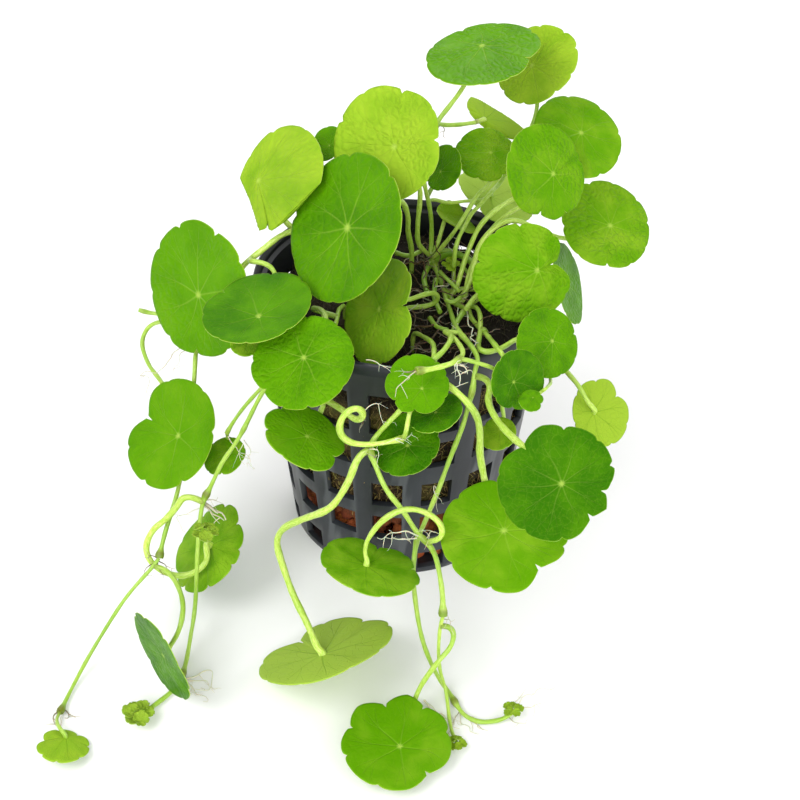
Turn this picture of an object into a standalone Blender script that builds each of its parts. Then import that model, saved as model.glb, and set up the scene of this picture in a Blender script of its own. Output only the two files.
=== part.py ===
"""Pennywort growing in a black net pot.

A round-leaved creeping plant stands in a small lattice pot on a rockwool plug over a bed of clay
ballast. Its leaves are round shields on long stalks, and its runners fall over the rim and lie
along the surface in front of the pot. Sizes are in millimetres and are turned into metres at the end.
X is to the right, Y away from the viewer, Z up, and the origin is the centre of the pot's underside.
"""
import math

import bmesh
import bpy
import numpy as np

MILLIMETRE = 0.001

# Pot sizes
POT_HEIGHT = 50.0
POT_TOP_RADIUS = 25.0
POT_FOOT_RADIUS = 19.3
POT_WALL = 1.1
POT_COLUMNS = 16
OPENING_ANGLE = 14.0
FIRST_COLUMN_ANGLE = -5.7
LIP_START = 47.4
LIP_HEIGHT = 1.6
LIP_STEP = 0.8
OPENING_ROWS = ((1.2, 5.2), (9.3, 14.7), (17.5, 22.8), (26.7, 32.3), (34.5, 43.0))

# What stands in the pot
BALLAST_TOP = 12.6
BALLAST_RADIUS = 18.1
PLUG_BOTTOM = 13.2
PLUG_TOP = 42.3
PLUG_TILT = 0.09
PLUG_BOTTOM_RADIUS = 19.0
PLUG_TOP_RADIUS = 21.0
PLUG_LEAN = -1.2
PLUG_SWELL = 1.5

# Plant sizes
BLADE_THICKNESS = 0.6
STALK_RADIUS = 0.5
RUNNER_RADIUS = 0.55
GAP = 0.32
FLOOR_CLEARANCE = 0.25

# The view that the leaves and runners are laid out from, in picture pixels and millimetres
VIEW_DISTANCE = 260.0
VIEW_ELEVATION = math.radians(38.69)
VIEW_ROLL = math.radians(1.06)
VIEW_FOCAL = 1471.4
PICTURE_CENTRE = 400.0
VIEW_AIM = np.array((-0.21, 0.0, 23.68))

BACK = np.array((0.0, -math.cos(VIEW_ELEVATION), math.sin(VIEW_ELEVATION)))
LEVEL = np.array((1.0, 0.0, 0.0))
STEEP = np.array((0.0, math.sin(VIEW_ELEVATION), math.cos(VIEW_ELEVATION)))
RIGHT = math.cos(VIEW_ROLL) * LEVEL + math.sin(VIEW_ROLL) * STEEP
UP = -math.sin(VIEW_ROLL) * LEVEL + math.cos(VIEW_ROLL) * STEEP
EYE = VIEW_AIM + BACK * VIEW_DISTANCE


def sight(px, py):
    """Direction from the eye through a picture point, one millimetre deep."""
    return -BACK + RIGHT * ((px - PICTURE_CENTRE) / VIEW_FOCAL) + UP * ((PICTURE_CENTRE - py) / VIEW_FOCAL)


def ahead_point(px, py, ahead):
    """Where a sight line is that far in front of the pot's axis."""
    line = sight(px, py)
    return EYE + line * ((-ahead - EYE[1]) / line[1])


def height_point(px, py, height):
    """Where a sight line comes down to a height over the floor."""
    line = sight(px, py)
    return EYE + line * ((height - EYE[2]) / line[2])


def place(spot, radius):
    """A spot is x, y and distance ahead, or x, y and nothing for a spot that lies on the floor."""
    if len(spot) == 2:
        return height_point(spot[0], spot[1], radius + FLOOR_CLEARANCE)
    return ahead_point(*spot)


# Leaves: picture centre, distance ahead, radius, how open the round looks (1 is face on),
# slant of its long axis, the way that the upper face leans, then heart, notches and stalk
LEAVES = (
    dict(name="leaf_top", centre=(484, 56), ahead=-15, radius=9.3, open=0.68, slant=12, leans="up",
         heart=(482, 46), cup=0.05, notches=((463, 33), (539, 34), (525, 61)),
         stalk=((471, 74, -15), (460, 92, -15), (448, 108, -14.5), (437, 123, -13.5), (428, 150, -11.5),
                (423, 172, -10.3), (425.5, 189, -10.6), (429, 204, -12), (431.5, 223, -13.4),
                (431.5, 248, -13.5))),
    dict(name="leaf_top_right", centre=(538, 65), ahead=-23, radius=7.3, open=0.82, slant=60, leans="left",
         heart=(532, 66), cup=0.03, notches=((566, 33), (556, 92), (505, 91)),
         stalk=((537, 88, -24), (537, 107, -23.5), (532, 125, -22), (519, 150, -21.5), (502, 180, -21.5),
                (491, 192, -18.2), (480, 205, -15.2), (471, 214, -13), (466, 224, -10.9),
                (458.5, 237.5, -7.3), (455, 246, -6.4))),
    dict(name="leaf_right_upper", centre=(577, 137), ahead=-17.8, radius=7.9, open=0.90, slant=-40,
         leans="right", heart=(581, 133), cup=0.03, notches=((600, 176), (603, 106)),
         stalk=((570, 160, -18), (556, 180, -18), (533, 200, -16), (508, 214, -13), (489, 232, -10),
                (476, 256, -6), (467, 280, -3), (466, 302, -1))),
    dict(name="leaf_right_middle", centre=(545, 173), ahead=-7, radius=8.0, open=0.86, slant=90,
         leans="right", heart=(553, 174), cup=0.03,
         notches=((582, 147), (578, 160), (562, 211), (540, 211), (504, 148)),
         stalk=((540, 186, -9), (524, 194, -10), (508, 202, -10), (491, 214, -9), (478, 229, -8),
                (466, 257, -6), (459, 280, -4), (456, 293, -3))),
    dict(name="leaf_right_lower", centre=(606, 225), ahead=-13, radius=8.1, open=0.93, slant=-45,
         leans="right", heart=(610, 226), cup=0.0, notches=((587, 180), (563, 226), (607, 263)),
         stalk=((594, 233, -14), (577, 238, -14), (562, 238, -13), (545, 233, -12), (527, 224, -11),
                (510, 220, -10), (493, 229, -9), (480, 244, -7), (473, 268, -4), (468, 290, -2))),
    dict(name="leaf_dark_small", centre=(485, 155), ahead=-14, radius=5.1, open=0.93, slant=0, leans="up",
         heart=(491, 153), cup=0.03, notches=((462, 165), (478, 178), (503, 175), (460, 140)),
         stalk=((493, 170, -14.8), (489, 185, -14), (477.5, 195, -12.8), (464, 217, -10.2),
                (453, 233.5, -9.8), (437, 253.5, -11.2), (433, 260, -11.8))),
    dict(name="leaf_folded_top", centre=(498, 114), ahead=-25, radius=5.6, open=0.62, slant=-36,
         leans="up", under=True, heart=(484, 120), cup=0.12, root=0.5, stalk=((480, 121.5, -19.3),),
         on="runner_high"),
    dict(name="leaf_pale_back", centre=(497, 194), ahead=-22.3, radius=7.3, open=0.66, slant=-32,
         leans="up", under=True, heart=(490, 198), cup=0.05, notches=((482, 205), (512, 222)), root=1.2,
         stalk=((482, 200, -18.9), (466, 201, -17.8), (450, 203, -16.2), (440, 201, -14.5),
                (431, 198, -12.6)),
         on="leaf_top"),
    dict(name="leaf_dark_centre", centre=(444, 168), ahead=-10.8, radius=3.9, open=0.75, slant=80,
         leans="left", heart=(441, 172), cup=0.05, notches=((458, 180), (441, 191)),
         stalk=((436, 182, -12.4), (430, 190, -11.9)), on="leaf_top"),
    dict(name="leaf_upper_centre", centre=(388, 144), ahead=-3, radius=9.3, open=0.92, slant=90,
         leans="left", heart=(395, 147), cup=0.04, notches=((434, 140), (403, 94), (345, 122)),
         stalk=((408, 168, -6), (419, 186, -8), (420, 200, -9), (418, 220, -10), (417, 244, -11))),
    dict(name="leaf_largest", centre=(346, 228), ahead=8, radius=11.9, open=0.73, slant=80, leans="left",
         heart=(348, 228), cup=0.03, notches=((352, 152), (392, 175), (291, 214)),
         stalk=((362, 222, 5), (380, 209, 1), (394, 201, -3), (403, 203, -6), (408, 217, -8),
                (408, 233, -9), (412, 248, -10))),
    dict(name="leaf_upper_left", centre=(281, 183), ahead=-4, radius=9.5, open=0.74, slant=72,
         leans="left", heart=(258, 181), cup=0.06, notches=((277, 131), (271, 224)),
         stalk=((272, 206, -5), (290, 226, -5), (310, 244, -5))),
    dict(name="leaf_behind_left", centre=(328, 144), ahead=-12, radius=3.1, open=0.85, slant=60,
         leans="up", heart=(330, 146), cup=0.05, notches=((316, 140), (336, 160)),
         stalk=((337, 162, -12), (350, 190, -12), (362, 226, -12), (368, 244, -12))),
    dict(name="leaf_left_shoulder", centre=(200, 289), ahead=3, radius=11.5, open=0.76, slant=106,
         leans="left", heart=(199, 295), cup=0.03, notches=((180, 228), (215, 236), (199, 349)),
         stalk=((224, 290, 2), (243, 266, 0.5), (252, 258, 0), (266, 247, -1), (280, 236, -2),
                (294, 231, -3), (310, 234, -4), (322, 250, -4))),
    dict(name="leaf_left_inner", centre=(257, 308), ahead=17, radius=8.7, open=0.67, slant=12, leans="up",
         heart=(259, 317), cup=0.03, notches=((271, 276), (225, 294)),
         stalk=((270, 294, 10), (276, 278, 6), (270, 266, 4.5), (258, 261, 4), (248, 262, 3.5)),
         on="leaf_left_shoulder"),
    dict(name="leaf_front_left", centre=(303, 363), ahead=26.5, radius=8.0, open=0.89, slant=20, leans="up",
         heart=(304, 358), cup=0.03, notches=((308, 406), (267, 390)),
         stalk=((318, 344, 23.4), (322, 337, 22.7), (325.5, 328, 20.4), (325, 316, 15), (318, 308, 11),
                (308, 308, 9.5))),
    dict(name="leaf_under_largest", centre=(381, 312), ahead=12, radius=8.7, open=0.64, slant=78,
         leans="left", heart=(380, 309), cup=0.03, notches=((402, 306), (409, 342)),
         stalk=((398, 302, 8), (411, 299, 6), (424, 294.5, 4.5), (434, 293, 3.5), (438.5, 298, 3),
                (433, 304, 3), (418, 307.5, 3), (402, 307, 3))),
    dict(name="leaf_right_rim", centre=(522, 273), ahead=10, radius=8.0, open=0.95, slant=0, leans="right",
         heart=(538, 270), cup=0.0, notches=((550, 265), (520, 227), (480, 262), (500, 315)),
         stalk=((526, 282, 4), (505, 288, 2), (484, 295, 1), (472, 303, 0))),
    dict(name="leaf_edge_on_right", centre=(567, 284), ahead=-8, radius=7.2, open=0.42, slant=100,
         leans="right", heart=(566, 284), cup=0.03,
         stalk=((560, 287, -3), (556, 287, 2), (551, 286.5, 4.6), (545, 285, 4.8), (530, 280, 3.6),
                (515, 277, 1.2),
                (495, 272, -3), (477, 265, -6), (462, 256, -9.5), (450, 254, -11.3), (438, 257, -12))),
    dict(name="leaf_right_rim_low", centre=(547, 343), ahead=20, radius=5.5, open=0.91, slant=100,
         leans="right", heart=(552, 341), cup=0.03, notches=((526, 313), (549, 310), (573, 334)),
         stalk=((534, 340, 19.5), (517, 339, 20), (504, 347, 20.8), (491, 351.5, 22), (483, 351.5, 22.5),
                (478.5, 346, 18), (480, 333, 11), (480.5, 322, 6), (480, 313, 3), (476.5, 304, 1.2))),
    dict(name="leaf_front_right_low", centre=(517, 380), ahead=28, radius=4.7, open=0.87, slant=70,
         leans="right", heart=(513, 382), cup=0.03, notches=((493, 399), (533, 355), (512, 406)),
         stalk=((508, 367, 26.5), (505.5, 359, 26.4), (499.5, 350.5, 25), (491, 340, 16.4),
                (487, 335, 12.3))),
    dict(name="leaf_pale_right", centre=(602, 412), ahead=13, radius=5.8, open=0.86, slant=100,
         leans="right", under=True, heart=(593, 412), cup=0.05, root=0.9,
         notches=((597, 382), (616, 397), (628, 424), (573, 425)),
         stalk=((588, 402, 14.4), (578, 385, 13.6), (567, 372, 11), (555, 356, 7.5), (545, 338, 3.6),
                (534, 320, 0.5), (520, 300, -2), (500, 290, -3), (480, 290, -4), (462, 288, -5))),
    dict(name="leaf_front_right_large", centre=(557, 482), ahead=47, radius=8.6, open=0.95, slant=40,
         leans="up", heart=(562, 484), cup=0.03,
         notches=((564, 430), (526, 450), (601, 491), (610, 466), (588, 514), (525, 530)),
         stalk=((543, 463, 44), (524, 447, 40), (508, 433, 36), (495, 417, 32), (488, 400, 28.5),
                (491, 384, 26.5), (485, 377, 27), (476, 376, 27.5))),
    dict(name="leaf_front_right_behind", centre=(504, 535), ahead=41, radius=9.7, open=0.86, slant=5,
         leans="up", heart=(504, 531), cup=0.03, notches=((448, 566), (497, 482), (535, 564), (491, 587)),
         stalk=((494, 508, 35.3), (486, 486, 31.5), (480, 455, 31), (480, 438, 31), (478, 420, 30.5),
                (471, 407, 31), (461, 396, 30.4), (450, 386, 29.4), (439, 380, 28.3))),
    dict(name="leaf_front_left_low", centre=(304, 438), ahead=32, radius=6.8, open=0.60, slant=-30,
         leans="up", heart=(307, 437), cup=0.03, notches=((332, 456), (268, 430), (281, 411)),
         stalk=((316, 422, 26), (321, 410, 23.4), (325, 403, 24.3)), on="runner_curl"),
    dict(name="leaf_front_centre", centre=(417, 385), ahead=31, radius=4.8, open=0.96, slant=0, leans="up",
         heart=(422, 389), cup=0.03, notches=((391, 373), (436, 361), (415, 409), (446, 399), (396, 400)),
         stalk=((416, 398, 30.8), (410, 411, 32), (406.5, 430, 33.3), (405, 437, 33))),
    dict(name="leaf_dark_low_centre", centre=(406, 445), ahead=30.8, radius=5.4, open=0.84, slant=30,
         leans="up", heart=(408, 446), cup=0.03, notches=((432, 459),), root=0.6,
         stalk=((414, 442, 28.2), (420, 430, 27), (422, 412, 25.4), (421, 398, 25.2), (418, 388, 26.8))),
    dict(name="leaf_dull_behind", centre=(436, 414), ahead=31.5, radius=4.2, open=0.66, slant=24,
         leans="up", heart=(436, 413), cup=0.03,
         stalk=((440, 404, 28), (441, 395, 26), (441, 386, 25.6), (438.5, 377, 25.7), (435, 367, 26),
                (434, 357, 25.4), (434, 350, 22.6), (432.5, 343, 18.5), (424, 337, 13), (413, 331, 9))),
    dict(name="leaf_small_front_right", centre=(498, 434), ahead=25, radius=3.0, open=0.82, slant=30,
         leans="up", heart=(500, 430), cup=0.03, notches=((484, 424),),
         stalk=((503, 424, 22.3), (504, 417, 21.2), (502, 406, 22), (503, 394, 23), (501, 380, 25),
                (496, 370, 27), (483, 364.5, 28.2), (471, 361, 29), (462, 358, 29.3))),
    dict(name="leaf_hanging_centre", centre=(371.5, 565), ahead=43.5, radius=7.9, open=0.42, slant=-15,
         leans="up", under=True, heart=(366, 566), cup=0.03, root=1.2,
         notches=((326, 567), (378, 548), (411, 568)),
         stalk=((365, 556, 43), (367, 541, 42.5), (380, 523, 42), (396, 512, 41.5), (413, 509, 41.2),
                (429, 514, 41.5), (439, 522, 41.9), (442.5, 530, 42.3), (441, 538, 41.7), (435.5, 541, 40.8),
                (429, 540, 40))),
    dict(name="leaf_floor_left", centre=(325, 648), height=6.4, radius=11.3, open=0.24, slant=17,
         leans="up", under=True, heart=(323, 655), cup=0.02, root=0.9, notches=((313, 645), (361, 621)),
         stalk=((318.6, 650, 44.6), (313, 637, 42.5), (306, 621, 40), (293, 594, 35.6),
                (282, 563, 32.3), (277, 542, 31.3),
                (284, 528, 32), (303, 519, 34), (331, 507, 36.5), (349, 480, 35.5), (356, 460, 34),
                (364, 450, 33))),
    dict(name="leaf_floor_front", centre=(396, 741), height=3.3, radius=8.7, open=0.70, slant=-3,
         leans="up", heart=(400, 747), cup=0.02,
         notches=((386, 708), (353, 728), (347, 756), (422, 711), (446, 733), (425, 771)), root=1.1,
         stalk=((402, 737, 56.4), (408, 722, 53.8), (413, 706, 50.9), (415, 699, 50.1), (422, 684, 49.3),
                (437, 663, 48.8), (450, 648, 47.2), (456, 635, 46.2), (451, 624, 45.6))),
    dict(name="leaf_left_notched", centre=(172, 434), ahead=16, radius=9.4, open=0.82, slant=68,
         leans="left", heart=(179, 436), cup=0.03,
         notches=((154, 421), (130, 448), (147, 480), (182, 480), (213, 432)),
         stalk=((168, 408, 9.5), (163, 385, 5), (149, 365, 1), (142, 344, -2.5), (147, 329, -3.6),
                (157, 322.5, -3.3), (172, 322, -1.6), (186, 326.5, 0.7), (198, 336, 3.4))),
    dict(name="leaf_left_small", centre=(225, 457), ahead=19, radius=3.7, open=0.80, slant=30,
         leans="up", heart=(227, 453), cup=0.03, notches=((243, 462), (222, 473)),
         stalk=((229, 447, 16.3), (228, 440, 16.8)), on="runner_left_short"),
    dict(name="leaf_left_folded", centre=(206, 546), ahead=24, radius=8.2, open=0.62, slant=53,
         leans="left", under=True, heart=(211, 546), cup=0.10, root=1.2,
         notches=((233, 523), (237, 547), (232, 566), (204, 588)),
         stalk=((207, 560, 28.4), (197, 571, 29.4), (182, 576, 29.8), (164, 572, 30), (151, 562, 29.5),
                (146, 547, 28.5), (153, 530, 27.5), (166, 519, 27), (178, 505, 26), (183, 496, 25.5),
                (192, 496, 25.5), (200, 501, 25.5))),
    dict(name="leaf_left_edge_on", centre=(163, 655), height=9.8, radius=7.9, open=0.43, slant=-62,
         leans="left", heart=(164, 655), cup=0.05, root=0.8,
         stalk=((169, 648, 44.5), (179, 630, 43.5), (183, 605, 39.8), (176, 582, 35), (164, 567, 31.5))),
    dict(name="leaf_far_left_tip", centre=(63, 745), height=2.0, radius=4.1, open=0.40, slant=-10,
         leans="up", under=True, heart=(66, 738), cup=0.03, notches=((46, 741), (78, 735)), root=0.5,
         stalk=((62, 731, 57.4), (56, 722, 54.6), (57, 716))),
    dict(name="leaf_rear_curled", centre=(455, 221), ahead=-16.5, radius=4.1, open=0.42, slant=-32,
         leans="up", heart=(446, 218), cup=0.1, notches=((442, 222),), root=0.8,
         stalk=((444, 223, -16), (440, 235, -14.5), (438, 246, -13.5))),
    dict(name="leaf_left_behind", centre=(247, 344), ahead=14.5, radius=2.7, open=0.75, slant=0, leans="up",
         heart=(248, 340), cup=0.03, stalk=((253, 333, 10.6), (257, 325, 8.6)), on="runner_far_left"),
    dict(name="leaf_tiny_right", centre=(531, 401), ahead=31.5, radius=1.9, open=0.85, slant=0, leans="up",
         heart=(533, 398), cup=0.05, notches=((522, 395), (540, 404)), root=0.5,
         stalk=((540, 393, 30), (547.5, 387, 26), (551, 381, 21.8), (549, 370, 18)),
         on="leaf_right_rim_low"),
)

# Runners: spots from the crown outwards
RUNNERS = (
    dict(name="runner_left", spots=((345, 304, 2), (339, 310, 7), (335, 325, 13), (325, 338, 18),
                                    (310, 348, 21), (286, 366, 22.5), (264, 390, 23.5), (240, 436, 24),
                                    (222, 463, 24), (210, 488, 24.5), (203, 502, 25.5), (199, 530, 28),
                                    (197, 565, 31), (195, 607, 34.5), (190, 640, 38.5), (186, 662),
                                    (180, 681), (170, 693), (152, 707)), buds=((140, 716, 1.5),)),
    dict(name="runner_left_short", spots=((281, 369, 21.6), (268, 381, 19.8), (245, 406, 19),
                                          (232, 424, 18.5), (227, 433, 18.5))),
    dict(name="runner_cut_end", spots=((200, 326, 4.8), (190, 318, 3), (178, 314, 1.4), (160, 314, -0.4),
                                       (148, 312.5, -1.4), (139, 310, -1.9))),
    dict(name="runner_far_left", spots=((284, 283, 1), (265, 290, 6.5), (247, 301, 8.4), (231, 313, 7.8),
                                        (214, 327, 6.2), (202, 340, 5.2), (196, 352, 5.4), (195, 366, 7.5),
                                        (194, 382, 9.3), (192, 400, 10.9),
                                        (188, 430, 14.6), (179, 485, 21.7), (172, 510, 24.8),
                                        (165, 533, 27.6),
                                        (159, 558, 30.6))),
    dict(name="runner_far_left_low", spots=((154, 566, 31.6), (138, 583, 33.8), (120, 606, 36.2),
                                            (92, 651, 41.2), (74, 684), (63, 706), (60, 712))),
    dict(name="runner_front", spots=((452, 334, 17), (450, 341, 21), (444, 350, 24.8), (437, 357, 26.2),
                                     (430, 362, 26.6), (416, 385, 28.4), (402, 408, 30), (385, 426, 31),
                                     (374, 439, 31.6),
                                     (370, 449, 33), (375, 464, 34.5), (386, 489, 36.5), (403, 511, 38),
                                     (418, 534, 39), (428, 543, 40), (436, 558, 41), (442, 590, 43.5),
                                     (443, 616, 45.5))),
    dict(name="runner_front_low", spots=((440, 626, 46), (438.5, 648, 46.5), (440, 670, 46.8), (446, 692),
                                         (449, 716), (452, 732)), buds=((458, 745, 1.2),)),
    dict(name="runner_right", spots=((443, 288, -5), (445.5, 298, -2.3), (450.5, 311, 2.5), (454, 322, 7),
                                     (460, 333, 12.5), (466, 340, 16.5), (474, 350, 22), (478, 360, 25.8),
                                     (475.5, 368, 27), (474, 376, 27.8), (473, 388, 28.5), (469, 403, 29.2),
                                     (463, 425, 30.3), (449, 461, 32), (437, 493, 34), (424, 524, 36),
                                     (416, 544, 37.2), (413.5, 579, 40.5), (418, 619, 43.3), (425, 648, 44.8),
                                     (437, 675, 46), (448.5, 692), (460, 710), (467, 717), (480, 722),
                                     (495, 721), (505, 718)), buds=((513, 712, 1.5),)),
    dict(name="runner_tip", spots=((442, 330.5, 13), (451.5, 336, 18), (458.5, 343.5, 22.3), (463, 353, 26.8),
                                   (457, 361, 29.3), (440, 367, 30.6), (428, 369.5, 31.3), (416, 371, 32))),
    dict(name="runner_curl", spots=((303, 362, 22.4), (309, 381, 23.2), (319, 394, 24.6), (330, 402, 26.5),
                                    (344, 411, 29), (356, 420, 30.3), (363, 416, 31.3), (360, 409, 32.3),
                                    (351, 409, 33), (342, 418, 33.3), (339.5, 431, 33.3), (347, 441, 33.4),
                                    (362, 444.5, 33.6), (383, 443, 33.6), (403, 438.5, 32.6))),
    dict(name="runner_high", spots=((441, 125, -15), (456, 125, -17), (475, 122.5, -19.2)), on="leaf_top"),
    dict(name="runner_crown_back", spots=((430, 256, -12.5), (434, 262, -11.5), (438.5, 275.5, -8),
                                          (445, 290, -4), (452.5, 300.5, -1), (459, 306.5, 0.5),
                                          (466, 307.5, 1))),
    dict(name="runner_crown_front", spots=((467, 311, 1.7), (472, 319, 4.5), (478, 326, 7.5),
                                           (485, 333, 10.8))),
)

SAMPLE_STEP = 0.8
BASE_FREE = 3.2
SETTLING_ROUNDS = 60
HEART_ROOT = 1.5
HEART_ROOT_SHARE = 0.45
LIP_REACH = 4.0
LIP_CLEARANCE = 0.85
PLUG_CLEARANCE = 0.35
RIM_REACH = 0.6
RIM_BAND = 1.0
RIM_CLEARANCE = 1.5
CONTACT_DEPTH = 6.0
STALK_FREE = 2.0
END_GAP = 0.45
ATTACH_REACH = 5.0
ATTACH_STEP = 0.6
BEND_LENGTH = 3.0
BEND_ROUNDS = 6
FEWEST_PATH_POINTS = 4


class Blade:
    """The plane, outline and heart of one leaf, in millimetres."""

    def __init__(self, leaf):
        self.name = leaf["name"]
        px, py = leaf["centre"]
        if "height" in leaf:
            self.centre = height_point(px, py, leaf["height"])
        else:
            self.centre = ahead_point(px, py, leaf["ahead"])
        slant = math.radians(leaf["slant"])
        self.radius = leaf["radius"]
        self.cup = leaf["cup"]
        self.long_axis = math.cos(slant) * RIGHT + math.sin(slant) * UP
        lean_axis = -math.sin(slant) * RIGHT + math.cos(slant) * UP
        wanted = {"up": UP, "left": -RIGHT, "right": RIGHT}[leaf["leans"]]
        side = 1.0 if lean_axis @ wanted > 0 else -1.0
        tilt = math.acos(leaf["open"])
        towards_eye = math.cos(tilt) * BACK + side * math.sin(tilt) * lean_axis
        self.short_axis = np.cross(towards_eye, self.long_axis)
        self.normal = -towards_eye if leaf.get("under") else towards_eye
        self.heart = self.on_plane(*leaf["heart"])
        self.notches = [self.notch(*spot) for spot in leaf.get("notches", ())]

    def on_plane(self, px, py):
        """Where the sight line of a picture point meets the leaf's plane."""
        line = sight(px, py)
        reach = ((self.centre - EYE) @ self.normal) / (line @ self.normal)
        return EYE + line * reach

    def notch(self, px, py):
        """Direction in the leaf and depth, as a share of the radius, of a notch tip."""
        offset = self.on_plane(px, py) - self.centre
        across = offset @ self.long_axis
        along = offset @ self.short_axis
        depth = 1.0 - math.hypot(across, along) / self.radius
        return math.atan2(along, across), min(max(depth, LEAST_NOTCH), DEEPEST_NOTCH)

    def point(self, angle, share):
        """A point of the blade's middle surface; share is 0 at the heart and 1 at the rim."""
        rim = self.radius * self.rim_share(angle)
        spoke = math.cos(angle) * self.long_axis + math.sin(angle) * self.short_axis
        flat = self.heart + (self.centre + spoke * rim - self.heart) * share
        return flat + self.normal * (self.cup * self.radius * share * share)

    def rim_share(self, angle):
        """Rim radius as a share of the leaf's radius."""
        share = 1.0
        for notch_angle, depth in self.notches:
            away = abs(math.remainder(angle - notch_angle, 2 * math.pi))
            share = min(share, 1.0 - depth * max(0.0, 1.0 - away / NOTCH_HALF_WIDTH))
        return share


NOTCH_HALF_WIDTH = math.radians(11.0)
LEAST_NOTCH = 0.05
DEEPEST_NOTCH = 0.5
STIFF_LENGTH = 1.6
LIMBER_LENGTH = 4.0
LEAST_SLOPE = 0.3
PUSH_REACH = 3
PUSH_FADE = 0.2


def smooth_path(points, step=SAMPLE_STEP):
    """A curve through the points, sampled about every step millimetres."""
    points = [np.asarray(point, dtype=float) for point in points]
    padded = [2 * points[0] - points[1]] + points + [2 * points[-1] - points[-2]]
    path = [points[0]]
    for before, start, end, after in zip(padded, padded[1:], padded[2:], padded[3:]):
        steps = max(2, math.ceil(np.linalg.norm(end - start) / step))
        for index in range(1, steps + 1):
            t = index / steps
            path.append(0.5 * (2 * start + (end - before) * t
                               + (2 * before - 5 * start + 4 * end - after) * t * t
                               + (3 * start - before - 3 * end + after) * t ** 3))
    return np.array(path)


class Stem:
    """A leaf stalk or a runner: a path from its far end to its base, and its radius."""

    def __init__(self, name, path, radius, blade=None):
        self.name = name
        self.path = path
        self.radius = radius
        self.blade = blade
        lengths = np.linalg.norm(np.diff(path, axis=0), axis=1)
        along = np.concatenate(((0.0,), np.cumsum(lengths)))
        self.from_start = along
        self.from_base = along[-1] - along
        self.freedom = np.ones(len(path))
        if blade is not None:
            self.freedom = np.clip((along - STIFF_LENGTH) / LIMBER_LENGTH, 0.0, 1.0)


def stalk_of(leaf, blade):
    """The stalk of a leaf, from its heart to its base."""
    reach = leaf.get("root", min(HEART_ROOT, blade.radius * HEART_ROOT_SHARE))
    root = blade.heart - blade.normal * reach
    spots = [place(spot, STALK_RADIUS) for spot in leaf["stalk"]]
    path = smooth_path([blade.heart, root] + spots)
    return Stem(leaf["name"], path, STALK_RADIUS, blade)


def all_stems(blades):
    """Stalks and runners as they are laid out, before they are settled clear of one another."""
    stems = [stalk_of(leaf, blades[leaf["name"]]) for leaf in LEAVES]
    for runner in RUNNERS:
        spots = [place(spot, RUNNER_RADIUS) for spot in runner["spots"]]
        spots += [height_point(*bud) for bud in runner.get("buds", ())]
        stems.append(Stem(runner["name"], smooth_path(spots), RUNNER_RADIUS))
    return stems


def settle(stems, blades):
    """Part stems from each other and from blades along the sight lines, then hold them off the floor."""
    order = np.concatenate([np.full(len(stem.path), index) for index, stem in enumerate(stems)])
    radius = np.concatenate([np.full(len(stem.path), stem.radius) for stem in stems])
    freedom = np.concatenate([stem.freedom for stem in stems])
    from_base = np.concatenate([stem.from_base for stem in stems])
    from_start = np.concatenate([stem.from_start for stem in stems])
    points = np.concatenate([stem.path for stem in stems])
    runner = np.array([stem.blade is None for stem in stems])[order]
    loose = (from_base < BASE_FREE) | (runner & (from_start < BASE_FREE))
    rays = points - EYE
    rays /= np.linalg.norm(rays, axis=1)[:, None]
    need = radius[:, None] + radius[None, :] + GAP
    other = order[:, None] != order[None, :]
    held = other & ~loose[:, None] & ~loose[None, :]
    depth = (points - EYE) @ -BACK
    lateral = np.linalg.norm(points[:, None, :] - points[None, :, :]
                             + (depth[:, None] - depth[None, :])[:, :, None] * BACK, axis=2)
    meets = held & (lateral < need)
    first, second = np.nonzero(np.triu(meets))
    sides = {}
    for one, two in zip(first, second):
        pair = (order[one], order[two])
        sides.setdefault(pair, []).append(depth[one] - depth[two])
    side = np.array([1.0 if np.mean(sides[(order[one], order[two])]) >= 0 else -1.0
                     for one, two in zip(first, second)])
    wanted = np.sqrt(np.maximum(need[first, second] ** 2 - lateral[first, second] ** 2, 0.0))
    blade_sides = blade_contacts(points, order, from_start, stems, blades)
    for _ in range(SETTLING_ROUNDS):
        depth = (points - EYE) @ -BACK
        short = wanted - side * (depth[first] - depth[second])
        push = np.zeros(len(points))
        count = np.zeros(len(points))
        live = short > 0
        np.add.at(push, first[live], 0.5 * (side * short)[live])
        np.add.at(push, second[live], -0.5 * (side * short)[live])
        np.add.at(count, first[live], 1)
        np.add.at(count, second[live], 1)
        push /= np.maximum(count, 1.0)
        for rows, blade, sign, margin in blade_sides:
            offset = (points[rows] - blade.heart) @ blade.normal
            lack = margin - sign * offset
            slope = rays[rows] @ blade.normal
            slope = np.where(np.abs(slope) < LEAST_SLOPE, np.sign(slope) * LEAST_SLOPE, slope)
            push[rows] += np.where(lack > 0, sign * lack / slope, 0.0)
        push = smooth_push(push, order) * freedom
        points = points + rays * push[:, None]
        sunk = np.maximum(lowest_allowed(points, radius) - points[:, 2], 0.0)
        points = points + rays * (sunk / rays[:, 2])[:, None]
    for index, stem in enumerate(stems):
        stem.path = points[order == index]
    return stems


def plug_height(x, y):
    """Height of the plug's top, which is higher at the back and swells to its middle."""
    inward = np.clip(1.0 - np.hypot(x - PLUG_LEAN, y) / PLUG_TOP_RADIUS, 0.0, 1.0)
    return PLUG_TOP + PLUG_TILT * y + PLUG_SWELL * inward


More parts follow.
